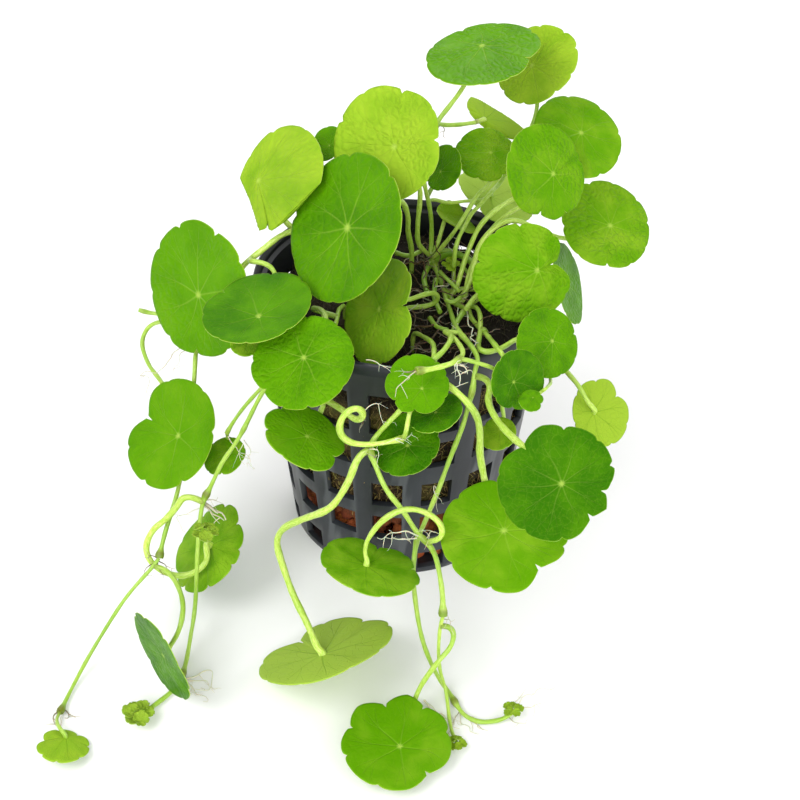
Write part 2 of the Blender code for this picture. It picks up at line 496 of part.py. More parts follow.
def attached(stems):
    """Lead each stalk's base and each runner's start to the stem that carries it, or down to the plug."""
    carriers = {row["name"]: row["on"] for row in LEAVES + RUNNERS if "on" in row}
    settled = {stem.name: stem.path.copy() for stem in stems}
    runners = [stem.name for stem in stems if stem.blade is None]
    for stem in stems:
        path = stem.path if stem.blade is not None else stem.path[::-1]
        base = path[-1]
        if stem.name in carriers:
            cloud = settled[carriers[stem.name]]
        else:
            cloud = np.concatenate([settled[name] for name in runners if name != stem.name])
        away = np.linalg.norm(cloud - base, axis=1)
        goal = cloud[np.argmin(away)]
        if stem.name not in carriers and away.min() > ATTACH_REACH:
            goal = np.array((base[0], base[1], plug_height(base[0], base[1])))
            if base[2] < goal[2] or np.hypot(base[0] - PLUG_LEAN, base[1]) > PLUG_TOP_RADIUS:
                continue
        steps = math.ceil(np.linalg.norm(goal - base) / ATTACH_STEP)
        run = [base + (goal - base) * step / steps for step in range(1, steps + 1)]
        path = eased(np.vstack([path] + run), len(path) - 1)
        stem.path = path if stem.blade is not None else path[::-1]
    return stems


def eased(path, corner):
    """The path with its corner rounded off."""
    reach = math.ceil(BEND_LENGTH / ATTACH_STEP)
    first = max(2, corner - reach)
    last = min(len(path) - 1, corner + reach)
    for _ in range(BEND_ROUNDS):
        middle = 0.25 * path[first - 1:last - 1] + 0.5 * path[first:last] + 0.25 * path[first + 1:last + 1]
        path[first:last] = middle
    return path


def lowest_allowed(points, radius):
    """The lowest height of a stem's middle line: over the floor, the plug and the lip."""
    floor = radius + FLOOR_CLEARANCE
    over_plug = np.hypot(points[:, 0] - PLUG_LEAN, points[:, 1]) < PLUG_TOP_RADIUS
    top = plug_height(points[:, 0], points[:, 1]) + radius + PLUG_CLEARANCE
    floor = np.where(over_plug, top, floor)
    from_lip = np.abs(np.hypot(points[:, 0], points[:, 1]) - (POT_TOP_RADIUS - POT_WALL / 2))
    crossing = (from_lip < POT_WALL / 2 + radius + GAP) & (points[:, 2] > POT_HEIGHT - LIP_REACH)
    return np.where(crossing, POT_HEIGHT + radius + LIP_CLEARANCE, floor)


def smooth_push(push, order):
    """Spread a push over its neighbours on the same stem."""
    result = push.copy()
    for shift in range(1, PUSH_REACH + 1):
        for way in (-shift, shift):
            moved = np.roll(push, way)
            same = np.roll(order, way) == order
            reach = moved * (1.0 - PUSH_FADE * shift)
            result = np.where(same & (np.abs(reach) > np.abs(result)), reach, result)
    return result


def blade_contacts(points, order, from_start, stems, blades):
    """Rows of points that cross each blade's outline, and the side that they keep to."""
    contacts = []
    for blade in blades.values():
        offset = (points - blade.heart) @ blade.normal
        flat = points - blade.centre
        inside = np.linalg.norm(flat - np.outer(flat @ blade.normal, blade.normal), axis=1)
        near = (inside < blade.radius + RIM_REACH) & (np.abs(offset) < CONTACT_DEPTH)
        for index, stem in enumerate(stems):
            own = stem.blade is blade
            rows = np.nonzero(near & (order == index) & (~own | (from_start > STALK_FREE)))[0]
            if len(rows) == 0:
                continue
            under_it = blade.radius + RIM_REACH - inside[rows]
            sign = -1.0 if own else (1.0 if under_it @ offset[rows] > 0 else -1.0)
            rows = rows[(under_it > RIM_BAND) | (sign * offset[rows] > -RIM_CLEARANCE)]
            if len(rows) == 0:
                continue
            rise = blade.cup * blade.radius * (inside[rows] / blade.radius) ** 2
            margin = stem.radius + BLADE_THICKNESS / 2 + GAP + sign * rise
            contacts.append((rows, blade, sign, margin))
    return contacts


def trimmed(stem, stems):
    """The stem's path with the ends that reach into other stems taken off."""
    path = stem.path
    others = [other for other in stems if other is not stem]
    cloud = np.concatenate([other.path for other in others])
    reach = np.concatenate([np.full(len(other.path), other.radius) for other in others])
    reach = reach + stem.radius + END_GAP

    def touches(point):
        sunk = np.hypot(point[0] - PLUG_LEAN, point[1]) < PLUG_TOP_RADIUS
        sunk = sunk and point[2] < plug_height(point[0], point[1]) + PLUG_CLEARANCE
        return bool(sunk or np.any(np.linalg.norm(cloud - point, axis=1) < reach))

    last = len(path)
    while last > FEWEST_PATH_POINTS and touches(path[last - 1]):
        last -= 1
    first = 0
    while stem.blade is None and first < last - FEWEST_PATH_POINTS and touches(path[first]):
        first += 1
    return path[first:last]


def thinned(path, tolerance):
    """Fewer points on nearly the same path."""
    keep = {0, len(path) - 1}
    spans = [(0, len(path) - 1)]
    while spans:
        start, end = spans.pop()
        if end - start < 2:
            continue
        chord = path[end] - path[start]
        length = max(np.linalg.norm(chord), 1e-9)
        offsets = path[start + 1:end] - path[start]
        along = np.clip(offsets @ chord / length ** 2, 0.0, 1.0)
        away = np.linalg.norm(offsets - np.outer(along, chord), axis=1)
        worst = int(np.argmax(away))
        if away[worst] > tolerance:
            middle = start + 1 + worst
            keep.add(middle)
            spans += [(start, middle), (middle, end)]
    return path[sorted(keep)]


LEAF_GREEN = (0.13, 0.36, 0.02, 1.0)
PALE_LEAF_GREEN = (0.27, 0.50, 0.03, 1.0)
STALK_GREEN = (0.45, 0.65, 0.12, 1.0)
POT_GREY = (0.035, 0.040, 0.046, 1.0)
ROCKWOOL_BROWN = (0.09, 0.06, 0.03, 1.0)
CLAY_RED = (0.36, 0.09, 0.03, 1.0)
PALE_LEAVES = ("leaf_top_right", "leaf_upper_centre", "leaf_upper_left", "leaf_front_centre",
               "leaf_pale_back", "leaf_pale_right", "leaf_folded_top", "leaf_rear_curled",
               "leaf_far_left_tip")
PLASTIC_ROUGHNESS = 0.35
CLAY_ROUGHNESS = 0.8
ROCKWOOL_ROUGHNESS = 0.95
LEAF_ROUGHNESS = 0.42
STEM_ROUGHNESS = 0.4
RIM_POINTS = 11
SMALL_RIM_POINTS = 8
SMALL_LEAF_RADIUS = 4.2
SHALLOW_NOTCH = 0.1
NOTCH_ROOM = 1.5
MIDDLE_RING_RADIUS = 10.5
MIDDLE_RING_SHARE = 0.55
TUBE_RESOLUTION = 2
STALK_TOLERANCE = 0.75
RUNNER_TOLERANCE = 0.6
WELD_DISTANCE = 0.000002
BUD_RADIUS = 1.9
BUD_THICKNESS = 1.2
SHADE_RANGE = 0.12
SHADE_TURN = 2.4
BALLAST_TAPER = 0.6
FILLING_SIDES = 20
FILLING_DENTS = 0.012
DENTS_ROUND = 5
DENTS_UP = 7
FILLING_CUTS = 2


def clear_scene():
    """Take away everything that the new scene brings."""
    for thing in list(bpy.data.objects):
        bpy.data.objects.remove(thing, do_unlink=True)


def make_material(name, colour, roughness):
    """A plain Principled material."""
    material = bpy.data.materials.new(name)
    material.use_nodes = True
    material.diffuse_color = colour
    shader = material.node_tree.nodes["Principled BSDF"]
    shader.inputs["Base Color"].default_value = colour
    shader.inputs["Roughness"].default_value = roughness
    shader.inputs["Metallic"].default_value = 0.0
    return material


def varied(colour, index):
    """A colour a little lighter or darker, as leaves of one plant differ."""
    shade = 1.0 + SHADE_RANGE * math.sin(SHADE_TURN * index)
    return tuple(value * shade for value in colour[:3]) + (1.0,)


def add_object(name, mesh, collection, material=None, smooth=True):
    """Link a mesh as a named object."""
    thing = bpy.data.objects.new(name, mesh)
    if material is not None:
        mesh.materials.clear()
        mesh.materials.append(material)
    for polygon in mesh.polygons:
        polygon.use_smooth = smooth
    collection.objects.link(thing)
    return thing


def evaluated_mesh(thing):
    """The mesh of an object with its modifiers applied."""
    bpy.context.view_layer.update()
    return bpy.data.meshes.new_from_object(thing.evaluated_get(bpy.context.evaluated_depsgraph_get()))


def weld(mesh):
    """Join the points that caps share with their tube and turn every face outwards."""
    shape = bmesh.new()
    shape.from_mesh(mesh)
    bmesh.ops.remove_doubles(shape, verts=shape.verts, dist=WELD_DISTANCE)
    bmesh.ops.recalc_face_normals(shape, faces=shape.faces)
    shape.to_mesh(mesh)
    shape.free()
    return mesh


def tube_object(name, path, radius, collection):
    """A round tube along a path, as a mesh object."""
    curve = bpy.data.curves.new(name + "_line", "CURVE")
    curve.dimensions = "3D"
    curve.bevel_depth = radius * MILLIMETRE
    curve.bevel_resolution = TUBE_RESOLUTION
    curve.use_fill_caps = True
    line = curve.splines.new("POLY")
    line.points.add(len(path) - 1)
    for point, spot in zip(line.points, path):
        x, y, z = spot * MILLIMETRE
        point.co = (x, y, z, 1.0)
    holder = bpy.data.objects.new(name + "_line", curve)
    collection.objects.link(holder)
    mesh = weld(evaluated_mesh(holder))
    tube = add_object(name, mesh, collection)
    tube.matrix_world = holder.matrix_world.copy()
    bpy.data.objects.remove(holder, do_unlink=True)
    bpy.data.curves.remove(curve)
    return tube


def united(name, whole, additions, collection, material):
    """One body made of an object and others that run into it."""
    for addition in additions:
        joint = whole.modifiers.new("join_" + addition.name, "BOOLEAN")
        joint.operation = "UNION"
        joint.solver = "EXACT"
        joint.object = addition
    mesh = weld(evaluated_mesh(whole))
    for thing in [whole] + list(additions):
        bpy.data.objects.remove(thing, do_unlink=True)
    mesh.name = name
    return add_object(name, mesh, collection, material)


def rim_angles(blade):
    """Rim directions: an even round with each notch and its shoulders put in."""
    count = SMALL_RIM_POINTS if blade.radius < SMALL_LEAF_RADIUS else RIM_POINTS
    notches = [angle for angle, depth in blade.notches if depth > SHALLOW_NOTCH]
    angles = []
    for index in range(count):
        angle = 2 * math.pi * index / count
        away = [abs(math.remainder(angle - notch, 2 * math.pi)) for notch in notches]
        if not away or min(away) > NOTCH_HALF_WIDTH * NOTCH_ROOM:
            angles.append(angle)
    for notch in notches:
        angles += [notch - NOTCH_HALF_WIDTH, notch, notch + NOTCH_HALF_WIDTH]
    return sorted(angle % (2 * math.pi) for angle in angles)


def blade_sheet(blade):
    """The middle surface of a leaf blade as rings of points about its heart."""
    angles = rim_angles(blade)
    shares = (MIDDLE_RING_SHARE, 1.0) if blade.radius >= MIDDLE_RING_RADIUS else (1.0,)
    shape = bmesh.new()
    heart = shape.verts.new(blade.heart * MILLIMETRE)
    rings = [[shape.verts.new(blade.point(angle, share) * MILLIMETRE) for angle in angles]
             for share in shares]
    for index in range(len(angles)):
        following = (index + 1) % len(angles)
        shape.faces.new((heart, rings[0][index], rings[0][following]))
        for inner, outer in zip(rings, rings[1:]):
            shape.faces.new((inner[index], outer[index], outer[following], inner[following]))
    mesh = bpy.data.meshes.new(blade.name)
    shape.to_mesh(mesh)
    shape.free()
    return mesh


def build_leaf(blade, stalk_path, collection, material):
    """A blade and its stalk as one body."""
    sheet = add_object(blade.name + "_blade", blade_sheet(blade), collection)
    depth = sheet.modifiers.new("thickness", "SOLIDIFY")
    depth.thickness = BLADE_THICKNESS * MILLIMETRE
    depth.offset = 0.0
    depth.use_even_offset = True
    stalk = tube_object(blade.name + "_stalk", thinned(stalk_path, STALK_TOLERANCE), STALK_RADIUS, collection)
    return united(blade.name, sheet, [stalk], collection, material)


def bud_object(name, spot, collection):
    """A cluster of young leaves at a runner's tip, as one small lumpy disc."""
    px, py, height = spot
    centre = height_point(px, py, height)
    shape = bmesh.new()
    bmesh.ops.create_icosphere(shape, subdivisions=1, radius=1.0)
    for vertex in shape.verts:
        vertex.co.x *= BUD_RADIUS
        vertex.co.y *= BUD_RADIUS
        vertex.co.z *= BUD_THICKNESS / 2
    mesh = bpy.data.meshes.new(name)
    for vertex in shape.verts:
        vertex.co = [(value + base) * MILLIMETRE for value, base in zip(vertex.co, centre)]
    shape.to_mesh(mesh)
    shape.free()
    return add_object(name, mesh, collection)


def build_runner(runner, path, collection, material):
    """A runner, with the bud at its tip."""
    tube = tube_object(runner["name"] + "_tube", thinned(path, RUNNER_TOLERANCE), RUNNER_RADIUS, collection)
    buds = [bud_object(runner["name"] + "_bud", spot, collection) for spot in runner.get("buds", ())]
    return united(runner["name"], tube, buds, collection, material)


def build_net_pot(collection, material):
    """The pot: a tapered lattice wall with a closed foot and a flared lip."""
    heights = [0.0]
    for bottom, top in OPENING_ROWS:
        heights += [bottom, top]
    heights += [LIP_START, LIP_START + LIP_HEIGHT / 2, POT_HEIGHT]
    pitch = 360.0 / POT_COLUMNS
    columns = []
    for column in range(POT_COLUMNS):
        middle = FIRST_COLUMN_ANGLE - 90.0 + column * pitch
        columns += [middle - OPENING_ANGLE / 2, middle + OPENING_ANGLE / 2]
    shape = bmesh.new()
    bmesh.ops.create_grid(shape, x_segments=len(columns), y_segments=len(heights) - 1, size=1.0)
    shape.verts.ensure_lookup_table()
    across = len(columns) + 1
    for index, vertex in enumerate(shape.verts):
        angle = math.radians(columns[(index % across) % len(columns)])
        height = heights[index // across]
        radius = POT_TOP_RADIUS if height > LIP_START else wall_radius(height)
        vertex.co = (radius * math.cos(angle) * MILLIMETRE, radius * math.sin(angle) * MILLIMETRE,
                     height * MILLIMETRE)
    shape.faces.ensure_lookup_table()
    opened = []
    for index, face in enumerate(shape.faces):
        column = index % len(columns)
        row = index // len(columns)
        if column % 2 == 0 and row % 2 == 1 and row < 2 * len(OPENING_ROWS):
            opened.append(face)
    bmesh.ops.delete(shape, geom=opened, context="FACES")
    bmesh.ops.remove_doubles(shape, verts=shape.verts, dist=WELD_DISTANCE)
    foot = [edge for edge in shape.edges
            if edge.is_boundary and all(vertex.co.z < WELD_DISTANCE for vertex in edge.verts)]
    bmesh.ops.contextual_create(shape, geom=foot)
    bmesh.ops.recalc_face_normals(shape, faces=shape.faces)
    mesh = bpy.data.meshes.new("net_pot")
    shape.to_mesh(mesh)
    shape.free()
    sheet = add_object("net_pot_sheet", mesh, collection)
    depth = sheet.modifiers.new("wall", "SOLIDIFY")
    depth.thickness = POT_WALL * MILLIMETRE
    depth.offset = -1.0
    depth.use_even_offset = True
    solid = weld(evaluated_mesh(sheet))
    bpy.data.objects.remove(sheet, do_unlink=True)
    return add_object("net_pot", solid, collection, material, smooth=False)


def wall_radius(height):
    """Outer radius of the wall under the lip."""
    top = POT_TOP_RADIUS - LIP_STEP
    return POT_FOOT_RADIUS + (top - POT_FOOT_RADIUS) * height / LIP_START


def build_filling(name, bottom, top, bottom_radius, top_radius, lean, tilt, swell, collection, material):
    """A lumpy round block in the pot, leaning to the left and tilted at its top."""
    shape = bmesh.new()
    bmesh.ops.create_cone(shape, cap_ends=True, cap_tris=True, segments=FILLING_SIDES, radius1=bottom_radius,
                          radius2=top_radius, depth=top - bottom)
    levels = [face for face in shape.faces if len(face.verts) == 4]
    edges = list({edge for face in levels for edge in face.edges
                  if edge.verts[0].co.z * edge.verts[1].co.z < 0.0})
    bmesh.ops.subdivide_edges(shape, edges=edges, cuts=FILLING_CUTS)
    for vertex in shape.verts:
        share = vertex.co.z / (top - bottom) + 0.5
        turn = math.atan2(vertex.co.y, vertex.co.x)
        reach = math.hypot(vertex.co.x, vertex.co.y)
        factor = 1.0 - FILLING_DENTS * (1.0 + math.sin(DENTS_ROUND * turn + DENTS_UP * share))
        vertex.co.x *= factor
        vertex.co.y *= factor
        if vertex.co.z > 0.0 and reach < top_radius / 2:
            vertex.co.z += swell
        vertex.co.z += tilt * vertex.co.y * share
        vertex.co.x += lean * share
        vertex.co.z += (top + bottom) / 2
        vertex.co = [value * MILLIMETRE for value in vertex.co]
    mesh = bpy.data.meshes.new(name)
    bmesh.ops.recalc_face_normals(shape, faces=shape.faces)
    shape.to_mesh(mesh)
    shape.free()
    return add_object(name, mesh, collection, material)


def main():
    """Build every piece of the plant and its pot."""
    clear_scene()
    collection = bpy.data.collections.new("pennywort")
    bpy.context.scene.collection.children.link(collection)
    build_net_pot(collection, make_material("net_pot_plastic", POT_GREY, PLASTIC_ROUGHNESS))
    clay = make_material("clay", CLAY_RED, CLAY_ROUGHNESS)
    build_filling("clay_ballast", POT_WALL + GAP, BALLAST_TOP, BALLAST_RADIUS - BALLAST_TAPER,
                  BALLAST_RADIUS, 0.0, 0.0, 0.0, collection, clay)
    rockwool = make_material("rockwool", ROCKWOOL_BROWN, ROCKWOOL_ROUGHNESS)
    build_filling("rockwool_plug", PLUG_BOTTOM, PLUG_TOP, PLUG_BOTTOM_RADIUS, PLUG_TOP_RADIUS,
                  PLUG_LEAN, PLUG_TILT, PLUG_SWELL, collection, rockwool)
    blades = {leaf["name"]: Blade(leaf) for leaf in LEAVES}
    stems = attached(settle(all_stems(blades), blades))
    by_name = {stem.name: stem for stem in stems}
    for index, leaf in enumerate(LEAVES):
        name = leaf["name"]
        green = PALE_LEAF_GREEN if name in PALE_LEAVES else LEAF_GREEN
        material = make_material(name + "_green", varied(green, index), LEAF_ROUGHNESS)
        build_leaf(blades[name], trimmed(by_name[name], stems), collection, material)
    for index, runner in enumerate(RUNNERS):
        name = runner["name"]
        material = make_material(name + "_green", varied(STALK_GREEN, index), STEM_ROUGHNESS)
        build_runner(runner, trimmed(by_name[name], stems), collection, material)


main()
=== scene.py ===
"""Dresses a pennywort in a net pot: leaves, runners, roots, the lattice pot and what fills it.

Run as a script in Blender 4.5. Leaves and stems are laid out in millimetres in the view that they
were measured in, as the solids are, and every piece is finished in metres.
"""

import functools
import math
import random

import bmesh
import bpy
import numpy as np
from bpy.props import FloatProperty, FloatVectorProperty, IntProperty, PointerProperty
from bpy.types import Operator, Panel, PropertyGroup
from mathutils import Matrix, Vector


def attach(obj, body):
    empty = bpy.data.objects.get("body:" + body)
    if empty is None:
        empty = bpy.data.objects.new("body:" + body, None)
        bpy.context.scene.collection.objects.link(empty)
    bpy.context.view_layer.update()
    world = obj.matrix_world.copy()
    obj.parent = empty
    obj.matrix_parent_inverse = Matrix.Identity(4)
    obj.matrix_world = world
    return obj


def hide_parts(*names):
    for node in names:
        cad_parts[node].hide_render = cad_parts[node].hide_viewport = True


bl_info = {
    "name": "Pennywort in a Net Pot",
    "version": (1, 0, 0),
    "blender": (4, 5, 0),
    "location": "View3D > Sidebar > Pennywort",
    "description": "Grows a creeping pennywort in a lattice pot",
    "category": "Add Mesh",
}

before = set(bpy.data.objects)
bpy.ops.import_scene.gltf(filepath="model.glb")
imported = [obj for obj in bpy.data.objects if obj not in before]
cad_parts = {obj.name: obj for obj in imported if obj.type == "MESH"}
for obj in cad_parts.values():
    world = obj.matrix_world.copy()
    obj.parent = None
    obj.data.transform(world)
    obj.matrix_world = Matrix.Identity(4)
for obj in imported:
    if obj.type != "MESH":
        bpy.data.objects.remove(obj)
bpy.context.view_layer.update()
MILLIMETRE = 0.001

# The view that the leaves and runners are laid out from, in picture pixels and millimetres
VIEW_DISTANCE = 260.0
VIEW_ELEVATION = math.radians(38.69)
VIEW_ROLL = math.radians(1.06)
VIEW_FOCAL = 1471.4
PICTURE_WIDTH = 800.0
PICTURE_CENTRE = PICTURE_WIDTH / 2
SENSOR_WIDTH = 36.0
VIEW_AIM = np.array((-0.21, 0.0, 23.68))

BACK = np.array((0.0, -math.cos(VIEW_ELEVATION), math.sin(VIEW_ELEVATION)))
LEVEL = np.array((1.0, 0.0, 0.0))
STEEP = np.array((0.0, math.sin(VIEW_ELEVATION), math.cos(VIEW_ELEVATION)))
RIGHT = math.cos(VIEW_ROLL) * LEVEL + math.sin(VIEW_ROLL) * STEEP
UP = -math.sin(VIEW_ROLL) * LEVEL + math.cos(VIEW_ROLL) * STEEP
EYE = VIEW_AIM + BACK * VIEW_DISTANCE

# Pot and filling, as in the solids
POT_HEIGHT = 50.0
POT_TOP_RADIUS = 25.0
POT_FOOT_RADIUS = 19.3
POT_WALL = 1.1
POT_COLUMNS = 16
FIRST_COLUMN_ANGLE = -5.7
OPENING_ANGLE = 14.0
OPENING_STEPS = 5
RIB_STEPS = 3
LIP_START = 47.4
LIP_STEP = 0.8
OPENING_ROWS = ((1.2, 5.2), (9.3, 14.7), (17.5, 22.8), (26.7, 32.3), (34.5, 43.0))
BALLAST_TOP = 12.6
BALLAST_RADIUS = 18.1
PLUG_BOTTOM = 13.2
PLUG_TOP = 42.3
PLUG_TILT = 0.09
PLUG_BOTTOM_RADIUS = 19.0
PLUG_TOP_RADIUS = 21.0
PLUG_LEAN = -1.2
PLUG_SWELL = 1.5
PLUG_SINK = 1.2

# Plant sizes and rules that the solids are settled with
BLADE_THICKNESS = 0.6
STALK_RADIUS = 0.5
RUNNER_RADIUS = 0.55
GAP = 0.32
FLOOR_CLEARANCE = 0.25
SAMPLE_STEP = 0.8
BASE_FREE = 3.2
SETTLING_ROUNDS = 60
HEART_ROOT = 1.5
HEART_ROOT_SHARE = 0.45
LIP_REACH = 4.0
LIP_CLEARANCE = 0.85
PLUG_CLEARANCE = 0.35
RIM_REACH = 0.6
RIM_BAND = 1.0
RIM_CLEARANCE = 1.5
CONTACT_DEPTH = 6.0
STALK_FREE = 2.0
ATTACH_REACH = 5.0
ATTACH_STEP = 0.6
BEND_LENGTH = 3.0
BEND_ROUNDS = 6
LEAST_NOTCH = 0.05
DEEPEST_NOTCH = 0.5
STIFF_LENGTH = 1.6
LIMBER_LENGTH = 4.0
LEAST_SLOPE = 0.3
PUSH_REACH = 3
PUSH_FADE = 0.2


def sight(px, py):
    """Direction from the eye through a picture point, one millimetre deep."""
    return -BACK + RIGHT * ((px - PICTURE_CENTRE) / VIEW_FOCAL) + UP * ((PICTURE_CENTRE - py) / VIEW_FOCAL)


def ahead_point(px, py, ahead):
    """Where a sight line is that far in front of the pot's axis."""
    line = sight(px, py)
    return EYE + line * ((-ahead - EYE[1]) / line[1])


def height_point(px, py, height):
    """Where a sight line comes down to a height over the floor."""
    line = sight(px, py)
    return EYE + line * ((height - EYE[2]) / line[2])


def place(spot, radius):
    """A spot is x, y and distance ahead, or x, y and nothing for a spot that lies on the floor."""
    if len(spot) == 2:
        return height_point(spot[0], spot[1], radius + FLOOR_CLEARANCE)
    return ahead_point(*spot)


class Blade:
    """The plane, outline and heart of one leaf, in millimetres."""

    def __init__(self, leaf):
        self.name = leaf["name"]
        px, py = leaf["centre"]
        if "height" in leaf:
            self.centre = height_point(px, py, leaf["height"])
        else:
            self.centre = ahead_point(px, py, leaf["ahead"])
        slant = math.radians(leaf["slant"])
        self.radius = leaf["radius"]
        self.cup = leaf["cup"]
        self.long_axis = math.cos(slant) * RIGHT + math.sin(slant) * UP
        lean_axis = -math.sin(slant) * RIGHT + math.cos(slant) * UP
        wanted = {"up": UP, "left": -RIGHT, "right": RIGHT}[leaf["leans"]]
        side = 1.0 if lean_axis @ wanted > 0 else -1.0
        tilt = math.acos(leaf["open"])
        towards_eye = math.cos(tilt) * BACK + side * math.sin(tilt) * lean_axis
        self.short_axis = np.cross(towards_eye, self.long_axis)
        self.normal = -towards_eye if leaf.get("under") else towards_eye
        self.heart = self.on_plane(*leaf["heart"])
        self.notches = [self.notch(*spot) for spot in leaf.get("notches", ())]

    def on_plane(self, px, py):
        """Where the sight line of a picture point meets the leaf's plane."""
        line = sight(px, py)
        reach = ((self.centre - EYE) @ self.normal) / (line @ self.normal)
        return EYE + line * reach

    def notch(self, px, py):
        """Direction in the leaf and depth, as a share of the radius, of a notch tip."""
        offset = self.on_plane(px, py) - self.centre
        across = offset @ self.long_axis
        along = offset @ self.short_axis
        depth = 1.0 - math.hypot(across, along) / self.radius
        return math.atan2(along, across), min(max(depth, LEAST_NOTCH), DEEPEST_NOTCH)


def smooth_path(points, step=SAMPLE_STEP):
    """A curve through the points, sampled about every step millimetres."""
    points = [np.asarray(point, dtype=float) for point in points]
    padded = [2 * points[0] - points[1]] + points + [2 * points[-1] - points[-2]]
    path = [points[0]]
    for before, start, end, after in zip(padded, padded[1:], padded[2:], padded[3:]):
        steps = max(2, math.ceil(np.linalg.norm(end - start) / step))
        for index in range(1, steps + 1):
            t = index / steps
            path.append(0.5 * (2 * start + (end - before) * t
                               + (2 * before - 5 * start + 4 * end - after) * t * t
                               + (3 * start - before - 3 * end + after) * t ** 3))
    return np.array(path)


class Stem:
    """A leaf stalk or a runner: a path from its far end to its base, and its radius."""

    def __init__(self, name, path, radius, blade=None):
        self.name = name
        self.path = path
        self.radius = radius
        self.blade = blade
        lengths = np.linalg.norm(np.diff(path, axis=0), axis=1)
        along = np.concatenate(((0.0,), np.cumsum(lengths)))
        self.from_start = along
        self.from_base = along[-1] - along
        self.freedom = np.ones(len(path))
        if blade is not None:
            self.freedom = np.clip((along - STIFF_LENGTH) / LIMBER_LENGTH, 0.0, 1.0)


def stalk_of(leaf, blade):
    """The stalk of a leaf, from its heart to its base."""
    reach = leaf.get("root", min(HEART_ROOT, blade.radius * HEART_ROOT_SHARE))
    root = blade.heart - blade.normal * reach
    spots = [place(spot, STALK_RADIUS) for spot in leaf["stalk"]]
    path = smooth_path([blade.heart, root] + spots)
    return Stem(leaf["name"], path, STALK_RADIUS, blade)


def all_stems(blades):
    """Stalks and runners as they are laid out, before they are settled clear of one another."""
    stems = [stalk_of(leaf, blades[leaf["name"]]) for leaf in LEAVES]
    for runner in RUNNERS:
        spots = [place(spot, RUNNER_RADIUS) for spot in runner["spots"]]
        spots += [height_point(*bud) for bud in runner.get("buds", ())]
        stems.append(Stem(runner["name"], smooth_path(spots), RUNNER_RADIUS))
    return stems


def settle(stems, blades):
    """Part stems from each other and from blades along the sight lines, then hold them off the floor."""
    order = np.repeat(np.arange(len(stems)), [len(stem.path) for stem in stems])
    radius = np.array([stem.radius for stem in stems])[order]
    freedom, from_base, from_start, points = (
        np.concatenate([getattr(stem, key) for stem in stems])
        for key in ("freedom", "from_base", "from_start", "path"))
    runner = np.array([stem.blade is None for stem in stems])[order]
    loose = (from_base < BASE_FREE) | (runner & (from_start < BASE_FREE))
    rays = points - EYE
    rays /= np.linalg.norm(rays, axis=1)[:, None]
    need = radius[:, None] + radius[None, :] + GAP
    other = order[:, None] != order[None, :]
    held = other & ~loose[:, None] & ~loose[None, :]
    depth = (points - EYE) @ -BACK
    lateral = np.linalg.norm(points[:, None, :] - points[None, :, :]
                             + (depth[:, None] - depth[None, :])[:, :, None] * BACK, axis=2)
    meets = held & (lateral < need)
    first, second = np.nonzero(np.triu(meets))
    sides = {}
    for one, two in zip(first, second):
        pair = (order[one], order[two])
        sides.setdefault(pair, []).append(depth[one] - depth[two])
    side = np.array([1.0 if np.mean(sides[(order[one], order[two])]) >= 0 else -1.0
                     for one, two in zip(first, second)])
    wanted = np.sqrt(np.maximum(need[first, second] ** 2 - lateral[first, second] ** 2, 0.0))
    blade_sides = blade_contacts(points, order, from_start, stems, blades)
    for _ in range(SETTLING_ROUNDS):
        depth = (points - EYE) @ -BACK
        short = wanted - side * (depth[first] - depth[second])
        push = np.zeros(len(points))
        count = np.zeros(len(points))
        live = short > 0
        for end, share in ((first, 0.5), (second, -0.5)):
            np.add.at(push, end[live], share * (side * short)[live])
            np.add.at(count, end[live], 1)
        push /= np.maximum(count, 1.0)
        for rows, blade, sign, margin in blade_sides:
            offset = (points[rows] - blade.heart) @ blade.normal
            lack = margin - sign * offset
            slope = rays[rows] @ blade.normal
            slope = np.where(np.abs(slope) < LEAST_SLOPE, np.sign(slope) * LEAST_SLOPE, slope)
            push[rows] += np.where(lack > 0, sign * lack / slope, 0.0)
        push = smooth_push(push, order) * freedom
        points = points + rays * push[:, None]
        sunk = np.maximum(lowest_allowed(points, radius) - points[:, 2], 0.0)
        points = points + rays * (sunk / rays[:, 2])[:, None]
    for index, stem in enumerate(stems):
        stem.path = points[order == index]
    return stems


def plug_height(x, y):
    """Height of the plug's top, which is higher at the back and swells to its middle."""
    inward = np.clip(1.0 - np.hypot(x - PLUG_LEAN, y) / PLUG_TOP_RADIUS, 0.0, 1.0)
    return PLUG_TOP + PLUG_TILT * y + PLUG_SWELL * inward


def attached(stems):
    """Lead each stalk's base and each runner's start to the stem that carries it, or down to the plug."""
    carriers = {row["name"]: row["on"] for row in LEAVES + RUNNERS if "on" in row}
    settled = {stem.name: stem.path.copy() for stem in stems}
    runners = [stem.name for stem in stems if stem.blade is None]
    for stem in stems:
        path = stem.path if stem.blade is not None else stem.path[::-1]
        base = path[-1]
        if stem.name in carriers:
            cloud = settled[carriers[stem.name]]
        else:
            cloud = np.concatenate([settled[name] for name in runners if name != stem.name])
        away = np.linalg.norm(cloud - base, axis=1)
        goal = cloud[np.argmin(away)]
        if stem.name not in carriers and away.min() > ATTACH_REACH:
            goal = np.array((base[0], base[1], plug_height(base[0], base[1]) - PLUG_SINK))
            if base[2] < goal[2] + PLUG_SINK or np.hypot(base[0] - PLUG_LEAN, base[1]) > PLUG_TOP_RADIUS:
                continue
        steps = math.ceil(np.linalg.norm(goal - base) / ATTACH_STEP)
        run = [base + (goal - base) * step / steps for step in range(1, steps + 1)]
        path = eased(np.vstack([path] + run), len(path) - 1)
        stem.path = path if stem.blade is not None else path[::-1]
    return stems


